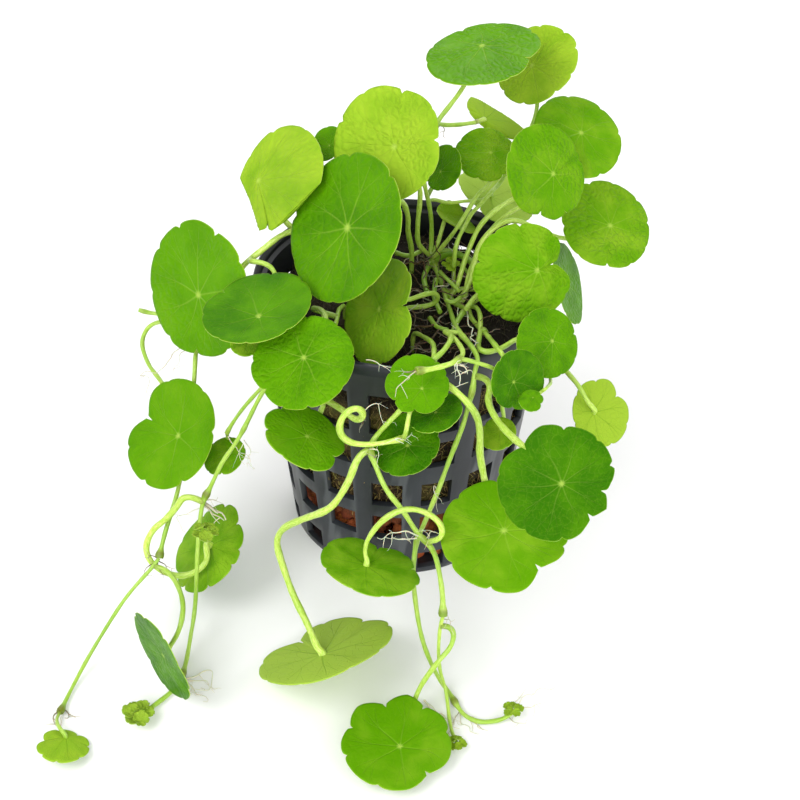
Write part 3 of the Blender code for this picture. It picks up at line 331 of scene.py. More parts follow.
def eased(path, corner):
    """The path with its corner rounded off."""
    reach = math.ceil(BEND_LENGTH / ATTACH_STEP)
    first = max(2, corner - reach)
    last = min(len(path) - 1, corner + reach)
    for _ in range(BEND_ROUNDS):
        middle = 0.25 * path[first - 1:last - 1] + 0.5 * path[first:last] + 0.25 * path[first + 1:last + 1]
        path[first:last] = middle
    return path


def lowest_allowed(points, radius):
    """The lowest height of a stem's middle line: over the floor, the plug and the lip."""
    floor = radius + FLOOR_CLEARANCE
    over_plug = np.hypot(points[:, 0] - PLUG_LEAN, points[:, 1]) < PLUG_TOP_RADIUS
    top = plug_height(points[:, 0], points[:, 1]) + radius + PLUG_CLEARANCE
    floor = np.where(over_plug, top, floor)
    from_lip = np.abs(np.hypot(points[:, 0], points[:, 1]) - (POT_TOP_RADIUS - POT_WALL / 2))
    crossing = (from_lip < POT_WALL / 2 + radius + GAP) & (points[:, 2] > POT_HEIGHT - LIP_REACH)
    return np.where(crossing, POT_HEIGHT + radius + LIP_CLEARANCE, floor)


def smooth_push(push, order):
    """Spread a push over its neighbours on the same stem."""
    result = push.copy()
    for shift in range(1, PUSH_REACH + 1):
        for way in (-shift, shift):
            moved = np.roll(push, way)
            same = np.roll(order, way) == order
            reach = moved * (1.0 - PUSH_FADE * shift)
            result = np.where(same & (np.abs(reach) > np.abs(result)), reach, result)
    return result


def blade_contacts(points, order, from_start, stems, blades):
    """Rows of points that cross each blade's outline, and the side that they keep to."""
    contacts = []
    for blade in blades.values():
        offset = (points - blade.heart) @ blade.normal
        flat = points - blade.centre
        inside = np.linalg.norm(flat - np.outer(flat @ blade.normal, blade.normal), axis=1)
        near = (inside < blade.radius + RIM_REACH) & (np.abs(offset) < CONTACT_DEPTH)
        for index, stem in enumerate(stems):
            own = stem.blade is blade
            rows = np.nonzero(near & (order == index) & (~own | (from_start > STALK_FREE)))[0]
            if len(rows) == 0:
                continue
            under_it = blade.radius + RIM_REACH - inside[rows]
            sign = -1.0 if own else (1.0 if under_it @ offset[rows] > 0 else -1.0)
            rows = rows[(under_it > RIM_BAND) | (sign * offset[rows] > -RIM_CLEARANCE)]
            if len(rows) == 0:
                continue
            rise = blade.cup * blade.radius * (inside[rows] / blade.radius) ** 2
            margin = stem.radius + BLADE_THICKNESS / 2 + GAP + sign * rise
            contacts.append((rows, blade, sign, margin))
    return contacts


# Leaves: picture centre, distance ahead, radius, how open the round looks (1 is face on), slant of the
# long axis, the way that the upper face leans, cup, heart, notches and stalk. Then how it looks: tone from
# deep green to yellow-green, with tones over 1 paler still as painted light, pucker from flat to blistered,
# scallops round the rim, how far the rim rises and falls, the stalk's radius in millimetres and paleness,
# and how deep the scallops are.
LEAF_KEYS = "centre ahead radius open slant leans cup heart notches stalk look".split()
LOOK_NAMES = "tone pucker lobes wave stem_radius stem_tone scallop".split()
LEAF_ROWS = {
    "leaf_top": ((484, 56), -15, 9.3, 0.68, 12, "up", 0.05, (482, 46), ((463, 33), (539, 34), (525, 61)),
        ((471, 74, -15), (460, 92, -15), (448, 108, -14.5), (437, 123, -13.5), (428, 150, -11.5),
        (423, 172, -10.3), (425.5, 189, -10.6), (429, 204, -12), (431.5, 223, -13.4), (431.5, 248, -13.5)),
        (0.42, 0.5, 9, 0.03, 0.4, 0.5, 0.6)),
    "leaf_top_right": ((538, 65), -23, 7.3, 0.82, 60, "left", 0.03, (532, 66), ((566, 33), (556, 92),
        (505, 91)), ((537, 88, -24), (537, 107, -23.5), (532, 125, -22), (519, 150, -21.5),
        (502, 180, -21.5), (491, 192, -18.2), (480, 205, -15.2), (471, 214, -13), (466, 224, -10.9),
        (458.5, 237.5, -7.3), (455, 246, -6.4)), (0.88, 0.3, 9, 0.03, 0.36, 0.7, 0.8)),
    "leaf_right_upper": ((577, 137), -17.8, 7.9, 0.9, -40, "right", 0.03, (581, 133), ((600, 176),
        (603, 106)), ((570, 160, -18), (556, 180, -18), (533, 200, -16), (508, 214, -13), (489, 232, -10),
        (476, 256, -6), (467, 280, -3), (466, 302, -1)), (0.58, 0.3, 9, 0.03, 0.38, 0.85, 0.5)),
    "leaf_right_middle": ((545, 173), -7, 8.0, 0.86, 90, "right", 0.03, (553, 174), ((582, 147), (578, 160),
        (562, 211), (540, 211), (504, 148)), ((540, 186, -9), (524, 194, -10), (508, 202, -10),
        (491, 214, -9), (478, 229, -8), (466, 257, -6), (459, 280, -4), (456, 293, -3)),
        (0.52, 0.7, 8, 0.04, 0.4, 0.85, 0.4)),
    "leaf_right_lower": ((606, 225), -13, 8.1, 0.93, -45, "right", 0.0, (610, 226), ((587, 180), (563, 226),
        (607, 263)), ((594, 233, -14), (577, 238, -14), (562, 238, -13), (545, 233, -12), (527, 224, -11),
        (510, 220, -10), (493, 229, -9), (480, 244, -7), (473, 268, -4), (468, 290, -2)),
        (0.64, 1.0, 10, 0.03, 0.42, 0.85, 0.6)),
    "leaf_dark_small": ((485, 155), -14, 5.1, 0.93, 0, "up", 0.03, (491, 153), ((462, 165), (478, 178),
        (503, 175), (460, 140)), ((493, 170, -14.8), (489, 185, -14), (477.5, 195, -12.8), (464, 217, -10.2),
        (453, 233.5, -9.8), (437, 253.5, -11.2), (433, 260, -11.8)), (0.62, 0.8, 8, 0.05, 0.34, 0.8, 1.3)),
    "leaf_folded_top": ((498, 114), -25, 5.6, 0.62, -36, "up", 0.12, (484, 120), (), ((480, 121.5, -19.3),),
        (0.95, 0.3, 7, 0.05, 0.36, 0.8, 0.6), {"under": True, "root": 0.5, "on": "runner_high"}),
    "leaf_pale_back": ((497, 194), -22.3, 7.3, 0.66, -32, "up", 0.05, (490, 198), ((482, 205), (512, 222)),
        ((482, 200, -18.9), (466, 201, -17.8), (450, 203, -16.2), (440, 201, -14.5), (431, 198, -12.6)),
        (1.35, 0.4, 8, 0.06, 0.3, 0.8, 0.6), {"under": True, "root": 1.2, "on": "leaf_top"}),
    "leaf_dark_centre": ((444, 168), -10.8, 3.9, 0.75, 80, "left", 0.05, (441, 172), ((458, 180),
        (441, 191)), ((436, 182, -12.4), (430, 190, -11.9)), (0.35, 0.4, 7, 0.05, 0.36, 0.3, 0.9),
        {"on": "leaf_top"}),
    "leaf_upper_centre": ((388, 144), -3, 9.3, 0.92, 90, "left", 0.04, (395, 147), ((434, 140), (403, 94),
        (345, 122)), ((408, 168, -6), (419, 186, -8), (420, 200, -9), (418, 220, -10), (417, 244, -11)),
        (0.88, 0.8, 9, 0.04, 0.42, 0.7, 0.5)),
    "leaf_largest": ((346, 228), 8, 11.9, 0.73, 80, "left", 0.03, (348, 228), ((352, 152), (392, 175),
        (291, 214)), ((362, 222, 5), (380, 209, 1), (394, 201, -3), (403, 203, -6), (408, 217, -8),
        (408, 233, -9), (412, 248, -10)), (0.34, 0.5, 10, 0.02, 0.46, 0.5, 0.3)),
    "leaf_upper_left": ((281, 183), -4, 9.5, 0.74, 72, "left", 0.06, (258, 181), ((277, 131), (271, 224)),
        ((272, 206, -5), (290, 226, -5), (310, 244, -5)), (0.84, 0.3, 9, 0.03, 0.44, 0.8, 0.3)),
    "leaf_behind_left": ((328, 144), -12, 3.1, 0.85, 60, "up", 0.05, (330, 146), ((316, 140), (336, 160)),
        ((337, 162, -12), (350, 190, -12), (362, 226, -12), (368, 244, -12)),
        (0.45, 0.4, 7, 0.05, 0.34, 0.5, 0.6)),
    "leaf_left_shoulder": ((200, 289), 3, 11.5, 0.76, 106, "left", 0.03, (199, 295), ((180, 228), (215, 236),
        (199, 349)), ((224, 290, 2), (243, 266, 0.5), (252, 258, 0), (266, 247, -1), (280, 236, -2),
        (294, 231, -3), (310, 234, -4), (322, 250, -4)), (0.42, 0.4, 9, 0.03, 0.48, 0.9, 0.6)),
    "leaf_left_inner": ((257, 308), 17, 8.7, 0.67, 12, "up", 0.03, (259, 317), ((271, 276), (225, 294)),
        ((270, 294, 10), (276, 278, 6), (270, 266, 4.5), (258, 261, 4), (248, 262, 3.5)),
        (0.27, 0.1, 8, 0.02, 0.42, 0.6, 0.5), {"on": "leaf_left_shoulder"}),
    "leaf_front_left": ((303, 363), 26.5, 8.0, 0.89, 20, "up", 0.03, (304, 358), ((308, 406), (267, 390)),
        ((318, 344, 23.4), (322, 337, 22.7), (325.5, 328, 20.4), (325, 316, 15), (318, 308, 11),
        (308, 308, 9.5)), (0.38, 0.5, 9, 0.02, 0.45, 0.5, 0.6)),
    "leaf_under_largest": ((381, 312), 12, 8.7, 0.64, 78, "left", 0.03, (380, 309), ((402, 306), (409, 342)),
        ((398, 302, 8), (411, 299, 6), (424, 294.5, 4.5), (434, 293, 3.5), (438.5, 298, 3), (433, 304, 3),
        (418, 307.5, 3), (402, 307, 3)), (0.75, 0.3, 8, 0.03, 0.42, 0.6, 0.6)),
    "leaf_right_rim": ((522, 273), 10, 8.0, 0.95, 0, "right", 0.0, (538, 270), ((550, 265), (520, 227),
        (480, 262), (500, 315)), ((526, 282, 4), (505, 288, 2), (484, 295, 1), (472, 303, 0)),
        (0.58, 1.0, 9, 0.04, 0.42, 0.6, 0.7)),
    "leaf_edge_on_right": ((567, 284), -8, 7.2, 0.42, 100, "right", 0.03, (566, 284), (), ((560, 287, -3),
        (556, 287, 2), (551, 286.5, 4.6), (545, 285, 4.8), (530, 280, 3.6), (515, 277, 1.2), (495, 272, -3),
        (477, 265, -6), (462, 256, -9.5), (450, 254, -11.3), (438, 257, -12)),
        (0.35, 0.4, 8, 0.04, 0.55, 0.1, 0.5)),
    "leaf_right_rim_low": ((547, 343), 20, 5.5, 0.91, 100, "right", 0.03, (552, 341), ((526, 313),
        (549, 310), (573, 334)), ((534, 340, 19.5), (517, 339, 20), (504, 347, 20.8), (491, 351.5, 22),
        (483, 351.5, 22.5), (478.5, 346, 18), (480, 333, 11), (480.5, 322, 6), (480, 313, 3),
        (476.5, 304, 1.2)), (0.34, 0.4, 8, 0.03, 0.4, 0.5, 0.5)),
    "leaf_front_right_low": ((517, 380), 28, 4.7, 0.87, 70, "right", 0.03, (513, 382), ((493, 399),
        (533, 355), (512, 406)), ((508, 367, 26.5), (505.5, 359, 26.4), (499.5, 350.5, 25), (491, 340, 16.4),
        (487, 335, 12.3)), (0.16, 0.3, 8, 0.04, 0.38, 0.5, 0.8)),
    "leaf_pale_right": ((602, 412), 13, 5.8, 0.86, 100, "right", 0.05, (593, 412), ((597, 382), (616, 397),
        (628, 424), (573, 425)), ((588, 402, 14.4), (578, 385, 13.6), (567, 372, 11), (555, 356, 7.5),
        (545, 338, 3.6), (534, 320, 0.5), (520, 300, -2), (500, 290, -3), (480, 290, -4), (462, 288, -5)),
        (1.1, 0.5, 8, 0.04, 0.38, 0.7, 0.9), {"under": True, "root": 0.9}),
    "leaf_front_right_large": ((557, 482), 47, 8.6, 0.95, 40, "up", 0.03, (562, 484), ((564, 430),
        (526, 450), (601, 491), (610, 466), (588, 514), (525, 530)), ((543, 463, 44), (524, 447, 40),
        (508, 433, 36), (495, 417, 32), (488, 400, 28.5), (491, 384, 26.5), (485, 377, 27),
        (476, 376, 27.5)), (0.1, 0.1, 10, 0.02, 0.52, 0.7, 0.8)),
    "leaf_front_right_behind": ((504, 535), 41, 9.7, 0.86, 5, "up", 0.03, (504, 531), ((448, 566),
        (497, 482), (535, 564), (491, 587)), ((494, 508, 35.3), (486, 486, 31.5), (480, 455, 31),
        (480, 438, 31), (478, 420, 30.5), (471, 407, 31), (461, 396, 30.4), (450, 386, 29.4),
        (439, 380, 28.3)), (0.6, 0.2, 9, 0.03, 0.55, 0.7, 0.8)),
    "leaf_front_left_low": ((304, 438), 32, 6.8, 0.6, -30, "up", 0.03, (307, 437), ((332, 456), (268, 430),
        (281, 411)), ((316, 422, 26), (321, 410, 23.4), (325, 403, 24.3)),
        (0.48, 0.3, 8, 0.04, 0.42, 0.7, 0.8), {"on": "runner_curl"}),
    "leaf_front_centre": ((417, 385), 31, 4.8, 0.96, 0, "up", 0.03, (422, 389), ((391, 373), (436, 361),
        (415, 409), (446, 399), (396, 400)), ((416, 398, 30.8), (410, 411, 32), (406.5, 430, 33.3),
        (405, 437, 33)), (0.36, 0.2, 7, 0.04, 0.38, 0.8, 0.9)),
    "leaf_dark_low_centre": ((406, 445), 30.8, 5.4, 0.84, 30, "up", 0.03, (408, 446), ((432, 459),),
        ((414, 442, 28.2), (420, 430, 27), (422, 412, 25.4), (421, 398, 25.2), (418, 388, 26.8)),
        (0.16, 0.3, 8, 0.04, 0.36, 0.4, 0.8), {"root": 0.6}),
    "leaf_dull_behind": ((436, 414), 31.5, 4.2, 0.66, 24, "up", 0.03, (436, 413), (), ((440, 404, 28),
        (441, 395, 26), (441, 386, 25.6), (438.5, 377, 25.7), (435, 367, 26), (434, 357, 25.4),
        (434, 350, 22.6), (432.5, 343, 18.5), (424, 337, 13), (413, 331, 9)),
        (0.15, 0.3, 7, 0.04, 0.38, 0.5, 1.0)),
    "leaf_small_front_right": ((498, 434), 25, 3.0, 0.82, 30, "up", 0.03, (500, 430), ((484, 424),),
        ((503, 424, 22.3), (504, 417, 21.2), (502, 406, 22), (503, 394, 23), (501, 380, 25), (496, 370, 27),
        (483, 364.5, 28.2), (471, 361, 29), (462, 358, 29.3)), (0.75, 0.3, 7, 0.05, 0.34, 0.6, 0.8)),
    "leaf_hanging_centre": ((371.5, 565), 43.5, 7.9, 0.42, -15, "up", 0.03, (366, 566), ((326, 567),
        (378, 548), (411, 568)), ((365, 556, 43), (367, 541, 42.5), (380, 523, 42), (396, 512, 41.5),
        (413, 509, 41.2), (429, 514, 41.5), (439, 522, 41.9), (442.5, 530, 42.3), (441, 538, 41.7),
        (435.5, 541, 40.8), (429, 540, 40)), (0.2, 0.1, 9, 0.02, 0.44, 0.75, 0.6),
        {"under": True, "root": 1.2}),
    "leaf_floor_left": ((325, 648), None, 11.3, 0.24, 17, "up", 0.02, (323, 655), ((313, 645), (361, 621)),
        ((318.6, 650, 44.6), (313, 637, 42.5), (306, 621, 40), (293, 594, 35.6), (282, 563, 32.3),
        (277, 542, 31.3), (284, 528, 32), (303, 519, 34), (331, 507, 36.5), (349, 480, 35.5), (356, 460, 34),
        (364, 450, 33)), (1.25, 0.1, 9, 0.03, 0.56, 0.8, 0.7), {"height": 6.4, "under": True, "root": 0.9}),
    "leaf_floor_front": ((396, 741), None, 8.7, 0.7, -3, "up", 0.02, (400, 747), ((386, 708), (353, 728),
        (347, 756), (422, 711), (446, 733), (425, 771)), ((402, 737, 56.4), (408, 722, 53.8),
        (413, 706, 50.9), (415, 699, 50.1), (422, 684, 49.3), (437, 663, 48.8), (450, 648, 47.2),
        (456, 635, 46.2), (451, 624, 45.6)), (0.52, 0.1, 8, 0.03, 0.42, 0.5, 0.9),
        {"height": 3.3, "root": 1.1}),
    "leaf_left_notched": ((172, 434), 16, 9.4, 0.82, 68, "left", 0.03, (179, 436), ((154, 421), (130, 448),
        (147, 480), (182, 480), (213, 432)), ((168, 408, 9.5), (163, 385, 5), (149, 365, 1),
        (142, 344, -2.5), (147, 329, -3.6), (157, 322.5, -3.3), (172, 322, -1.6), (186, 326.5, 0.7),
        (198, 336, 3.4)), (0.46, 0.2, 8, 0.03, 0.38, 0.45, 0.6)),
    "leaf_left_small": ((225, 457), 19, 3.7, 0.8, 30, "up", 0.03, (227, 453), ((243, 462), (222, 473)),
        ((229, 447, 16.3), (228, 440, 16.8)), (0.6, 0.3, 7, 0.05, 0.3, 0.8, 0.8),
        {"on": "runner_left_short"}),
    "leaf_left_folded": ((206, 546), 24, 8.2, 0.62, 53, "left", 0.1, (211, 546), ((233, 523), (237, 547),
        (232, 566), (204, 588)), ((207, 560, 28.4), (197, 571, 29.4), (182, 576, 29.8), (164, 572, 30),
        (151, 562, 29.5), (146, 547, 28.5), (153, 530, 27.5), (166, 519, 27), (178, 505, 26),
        (183, 496, 25.5), (192, 496, 25.5), (200, 501, 25.5)), (0.3, 0.2, 9, 0.04, 0.52, 0.85, 1.3),
        {"under": True, "root": 1.2}),
    "leaf_left_edge_on": ((163, 655), None, 7.9, 0.43, -62, "left", 0.05, (164, 655), (), ((169, 648, 44.5),
        (179, 630, 43.5), (183, 605, 39.8), (176, 582, 35), (164, 567, 31.5)),
        (0.25, 0.2, 9, 0.04, 0.4, 0.45, 1.5), {"height": 9.8, "root": 0.8}),
    "leaf_far_left_tip": ((63, 745), None, 4.1, 0.4, -10, "up", 0.03, (66, 738), ((46, 741), (78, 735)),
        ((62, 731, 57.4), (56, 722, 54.6), (57, 716)), (0.7, 0.2, 7, 0.05, 0.28, 0.4, 2.2),
        {"height": 2.0, "under": True, "root": 0.5}),
    "leaf_rear_curled": ((455, 221), -16.5, 4.1, 0.42, -32, "up", 0.1, (446, 218), ((442, 222),),
        ((444, 223, -16), (440, 235, -14.5), (438, 246, -13.5)), (0.85, 0.3, 7, 0.07, 0.34, 0.7, 0.9),
        {"root": 0.8}),
    "leaf_left_behind": ((247, 344), 14.5, 2.7, 0.75, 0, "up", 0.03, (248, 340), (), ((253, 333, 10.6),
        (257, 325, 8.6)), (0.7, 0.2, 7, 0.04, 0.32, 0.6, 0.6), {"on": "runner_far_left"}),
    "leaf_tiny_right": ((531, 401), 31.5, 1.9, 0.85, 0, "up", 0.05, (533, 398), ((522, 395), (540, 404)),
        ((540, 393, 30), (547.5, 387, 26), (551, 381, 21.8), (549, 370, 18)),
        (0.35, 0.2, 6, 0.05, 0.26, 0.6, 1.2), {"root": 0.5, "on": "leaf_right_rim_low"}),
}

# Runners: radius in millimetres and paleness, then spots from the crown outwards
RUNNER_ROWS = {
    "runner_left": ((0.36, 0.4), ((345, 304, 2), (339, 310, 7), (335, 325, 13), (325, 338, 18),
        (310, 348, 21), (286, 366, 22.5), (264, 390, 23.5), (240, 436, 24), (222, 463, 24), (210, 488, 24.5),
        (203, 502, 25.5), (199, 530, 28), (197, 565, 31), (195, 607, 34.5), (190, 640, 38.5), (186, 662),
        (180, 681), (170, 693), (152, 707)), {"buds": ((140, 716, 1.5),)}),
    "runner_left_short": ((0.32, 0.35), ((281, 369, 21.6), (268, 381, 19.8), (245, 406, 19),
        (232, 424, 18.5), (227, 433, 18.5))),
    "runner_cut_end": ((0.34, 0.5), ((200, 326, 4.8), (190, 318, 3), (178, 314, 1.4), (160, 314, -0.4),
        (148, 312.5, -1.4), (139, 310, -1.9))),
    "runner_far_left": ((0.36, 0.35), ((284, 283, 1), (265, 290, 6.5), (247, 301, 8.4), (231, 313, 7.8),
        (214, 327, 6.2), (202, 340, 5.2), (196, 352, 5.4), (195, 366, 7.5), (194, 382, 9.3),
        (192, 400, 10.9), (188, 430, 14.6), (179, 485, 21.7), (172, 510, 24.8), (165, 533, 27.6),
        (159, 558, 30.6))),
    "runner_far_left_low": ((0.32, 0.3), ((154, 566, 31.6), (138, 583, 33.8), (120, 606, 36.2),
        (92, 651, 41.2), (74, 684), (63, 706), (60, 712))),
    "runner_front": ((0.42, 0.5), ((452, 334, 17), (450, 341, 21), (444, 350, 24.8), (437, 357, 26.2),
        (430, 362, 26.6), (416, 385, 28.4), (402, 408, 30), (385, 426, 31), (374, 439, 31.6), (370, 449, 33),
        (375, 464, 34.5), (386, 489, 36.5), (403, 511, 38), (418, 534, 39), (428, 543, 40), (436, 558, 41),
        (442, 590, 43.5), (443, 616, 45.5))),
    "runner_front_low": ((0.3, 0.6), ((440, 626, 46), (438.5, 648, 46.5), (440, 670, 46.8), (446, 692),
        (449, 716), (452, 732)), {"buds": ((458, 745, 1.2),)}),
    "runner_right": ((0.36, 0.45), ((443, 288, -5), (445.5, 298, -2.3), (450.5, 311, 2.5), (454, 322, 7),
        (460, 333, 12.5), (466, 340, 16.5), (474, 350, 22), (478, 360, 25.8), (475.5, 368, 27),
        (474, 376, 27.8), (473, 388, 28.5), (469, 403, 29.2), (463, 425, 30.3), (449, 461, 32),
        (437, 493, 34), (424, 524, 36), (416, 544, 37.2), (413.5, 579, 40.5), (418, 619, 43.3),
        (425, 648, 44.8), (437, 675, 46), (448.5, 692), (460, 710), (467, 717), (480, 722), (495, 721),
        (505, 718)), {"buds": ((513, 712, 1.5),)}),
    "runner_tip": ((0.38, 0.75), ((442, 330.5, 13), (451.5, 336, 18), (458.5, 343.5, 22.3), (463, 353, 26.8),
        (457, 361, 29.3), (440, 367, 30.6), (428, 369.5, 31.3), (416, 371, 32))),
    "runner_curl": ((0.52, 0.85), ((303, 362, 22.4), (309, 381, 23.2), (319, 394, 24.6), (330, 402, 26.5),
        (344, 411, 29), (356, 420, 30.3), (363, 416, 31.3), (360, 409, 32.3), (351, 409, 33),
        (342, 418, 33.3), (339.5, 431, 33.3), (347, 441, 33.4), (362, 444.5, 33.6), (383, 443, 33.6),
        (403, 438.5, 32.6))),
    "runner_high": ((0.36, 0.55), ((441, 125, -15), (456, 125, -17), (475, 122.5, -19.2)),
        {"on": "leaf_top"}),
    "runner_crown_back": ((0.44, 0.4), ((430, 256, -12.5), (434, 262, -11.5), (438.5, 275.5, -8),
        (445, 290, -4), (452.5, 300.5, -1), (459, 306.5, 0.5), (466, 307.5, 1))),
    "runner_crown_front": ((0.44, 0.4), ((467, 311, 1.7), (472, 319, 4.5), (478, 326, 7.5),
        (485, 333, 10.8))),
}


def listed(keys, rows):
    """Rows of values by name as dictionaries; a row may end with values of its own."""
    result = []
    for name, row in rows.items():
        result.append(dict(zip(keys, row), name=name))
        result[-1].update(*row[len(keys):])
    return result


LEAVES = listed(LEAF_KEYS, LEAF_ROWS)
RUNNERS = listed(("look", "spots"), RUNNER_ROWS)


# Folds of a blade: leaf, two picture points that the fold runs through, its rise, and how far it turns back
FOLDS = (
    ("leaf_upper_left", (237, 165), (265, 241), -0.8, 1.5),
    ("leaf_upper_left", (266, 240), (298, 208), -0.5, 1.2),
    ("leaf_folded_top", (472, 93), (527, 127), 0.7, 0.9),
    ("leaf_top_right", (522, 46), (573, 40), 0.5, 0.25),
    ("leaf_rear_curled", (436, 212), (468, 220), 0.8, 0.4),
)


def look_of(name):
    """The numbers of one leaf's look, by name, and its folds."""
    look = dict(zip(LOOK_NAMES, LEAF_ROWS[name][LEAF_KEYS.index("look")]))
    look["folds"] = [fold[1:] for fold in FOLDS if fold[0] == name]
    return look


class Value:
    """An output of a node, which arithmetic turns into more nodes."""

    def __init__(self, nodes, socket):
        self.nodes = nodes
        self.socket = socket

    def __add__(self, other):
        return self.nodes.math("ADD", self, other)

    def __sub__(self, other):
        return self.nodes.math("SUBTRACT", self, other)

    def __mul__(self, other):
        return self.nodes.math("MULTIPLY", self, other)

    def __truediv__(self, other):
        return self.nodes.math("DIVIDE", self, other)


class Nodes:
    """Short names for adding and joining the nodes of a tree."""

    def __init__(self, tree, prefix):
        self.tree = tree
        self.prefix = prefix

    def add(self, kind, values=None, **settings):
        """A node with its settings, and numbers or outputs for its inputs."""
        node = self.tree.nodes.new(kind if "Node" in kind else self.prefix + kind)
        for key, value in settings.items():
            setattr(node, key, value)
        for socket, value in (values or {}).items():
            self.feed(node.inputs[socket], value)
        return node

    def out(self, kind, values=None, pick=0, **settings):
        """One output of a new node."""
        return Value(self, self.add(kind, values, **settings).outputs[pick])

    def feed(self, socket, value):
        """Puts a number, a colour or an output on a socket."""
        if isinstance(value, Value):
            self.tree.links.new(value.socket, socket)
        elif socket.type == "RGBA":
            socket.default_value = tuple(value)[:3] + (1.0,)
        else:
            socket.default_value = value

    def math(self, operation, *values, clamp=False):
        """One step of arithmetic."""
        return self.out("ShaderNodeMath", dict(enumerate(values)), operation=operation, use_clamp=clamp)

    def vector(self, operation, first, second, pick=0):
        """One step of arithmetic on places; SCALE takes a number second."""
        values = {0: first, "Scale" if operation == "SCALE" else 1: second}
        return self.out("ShaderNodeVectorMath", values, pick, operation=operation)

    def place_of(self, *values):
        """Numbers put together as a place."""
        return self.out("ShaderNodeCombineXYZ", dict(enumerate(values)))


# Fineness of the leaf blades, and how deep their details are as shares of the radius
BLADE_RINGS = 24
BLADE_SPOKES = 144
SMALL_BLADE_RINGS = 14
SMALL_BLADE_SPOKES = 96
SMALL_LEAF_RADIUS = 4.2
BUD_BLADE_RINGS = 8
BUD_BLADE_SPOKES = 48
FINE_NOTCH_HALF_WIDTH = math.radians(5.5)
SHALLOW_NOTCH = 0.06
DRAWN_IN_SHARE = 0.75
DRAWN_IN_WIDTH = 0.32
LOBE_JITTER = 0.14
LOBE_SHARPNESS = 6.0
NOTCH_SHARPNESS = 1.3
CRENATION_DEPTH = 0.003
MAIN_VEIN_WIDTH = 0.030
FORKED_VEIN_WIDTH = 0.026
FORK_START = 0.40
FORK_SPREAD = 0.40
VEIN_SWAY = (0.04, 0.08)
VEIN_GROOVE = 0.002
WAVE_SHARE = 0.35
WAVE_PITCH = 2.6
PATCH_PITCH = 2.4
BLISTER_PITCH = 9.0
BLISTER_HEIGHT = 0.009
RIM_THINNING_POWER = 8
RIM_THINNING = 0.65
STALK_FLARE = 0.25
STALK_FLARE_REACH = 0.8
SKIN_SPREAD = 40


def seeded(name):
    """A random source that depends on a piece's name alone."""
    return random.Random("pennywort " + name)


def ripple(x, y, source, waves=5, pitch=3.0):
    """A smooth uneven surface between about -1 and 1, as a sum of slanted waves."""
    total = np.zeros_like(x)
    for _ in range(waves):
        direction = source.uniform(0, 2 * math.pi)
        length = pitch * source.uniform(0.6, 1.5)
        shift = source.uniform(0, 2 * math.pi)
        total += np.sin(length * (x * math.cos(direction) + y * math.sin(direction)) + shift)
    return total / math.sqrt(waves * 2)


class Lobes:
    """The scallops round a leaf: where they part, and how deep each parting is."""

    def __init__(self, blade, count, depth, source):
        cuts = sorted(angle % (2 * math.pi) for angle, _ in blade.notches)
        if not cuts:
            cuts = [source.uniform(0, 2 * math.pi)]
        self.cuts = []
        for start, end in zip(cuts, cuts[1:] + [cuts[0] + 2 * math.pi]):
            between = max(1, round((end - start) / (2 * math.pi) * count))
            for index in range(between):
                jitter = source.uniform(-LOBE_JITTER, LOBE_JITTER) if index else 0.0
                self.cuts.append(start + (end - start) * (index + jitter) / between)
        self.count = len(self.cuts)
        self.depths = [depth * source.uniform(0.5, 1.5) for _ in self.cuts]

    def phase(self, angles):
        """How many lobes lie between the first parting and each angle."""
        first = self.cuts[0]
        turned = np.mod(np.asarray(angles) - first, 2 * math.pi) + first
        return np.interp(turned, self.cuts + [first + 2 * math.pi], np.arange(self.count + 1))

    def rim(self, angles, blade):
        """Rim radius as a share of the leaf's radius, scallops and notches included."""
        phase = self.phase(angles)
        within = np.mod(phase, 1.0)
        parting = np.where(within < 0.5, np.floor(phase), np.floor(phase) + 1).astype(int) % self.count
        depth = np.array(self.depths)[parting]
        share = 1.0 - depth * (np.abs(within - 0.5) * 2) ** LOBE_SHARPNESS
        share -= CRENATION_DEPTH * (1.0 - np.abs(np.sin(3 * math.pi * within)))
        outer = share
        for angle, cut in blade.notches:
            away = np.abs(np.mod(angles - angle + math.pi, 2 * math.pi) - math.pi)
            drawn = DRAWN_IN_SHARE * max(0.0, cut - SHALLOW_NOTCH) * np.exp(-(away / DRAWN_IN_WIDTH) ** 2)
            share = np.minimum(share, outer - drawn)
            open_share = np.clip(1.0 - away / FINE_NOTCH_HALF_WIDTH, 0.0, 1.0)
            share = np.minimum(share, 1.0 - cut * open_share ** NOTCH_SHARPNESS)
        return share

    def spokes(self, number):
        """Even directions, with the nearest ones moved onto the partings."""
        angles = np.arange(number) * 2 * math.pi / number
        for cut in self.cuts:
            nearest = int(round((cut % (2 * math.pi)) / (2 * math.pi) * number)) % number
            angles[nearest] = cut % (2 * math.pi)
        if angles[0] > math.pi:
            angles[0] -= 2 * math.pi
        return angles


def vein_rise(across, radius, count):
    """Depth of the veins over a blade: main veins that fork, as the skin pattern draws them."""
    lateral = np.abs(np.mod(across, 1.0) - 0.5) * (2 * math.pi / count) * radius
    main = np.exp(-(lateral / MAIN_VEIN_WIDTH) ** 2) * np.clip(1.2 - radius, 0, 1)
    fork = np.abs(lateral - FORK_SPREAD * np.maximum(radius - FORK_START, 0.0))
    forked = np.exp(-(fork / FORKED_VEIN_WIDTH) ** 2) * (radius > FORK_START)
    return np.maximum(main, forked)


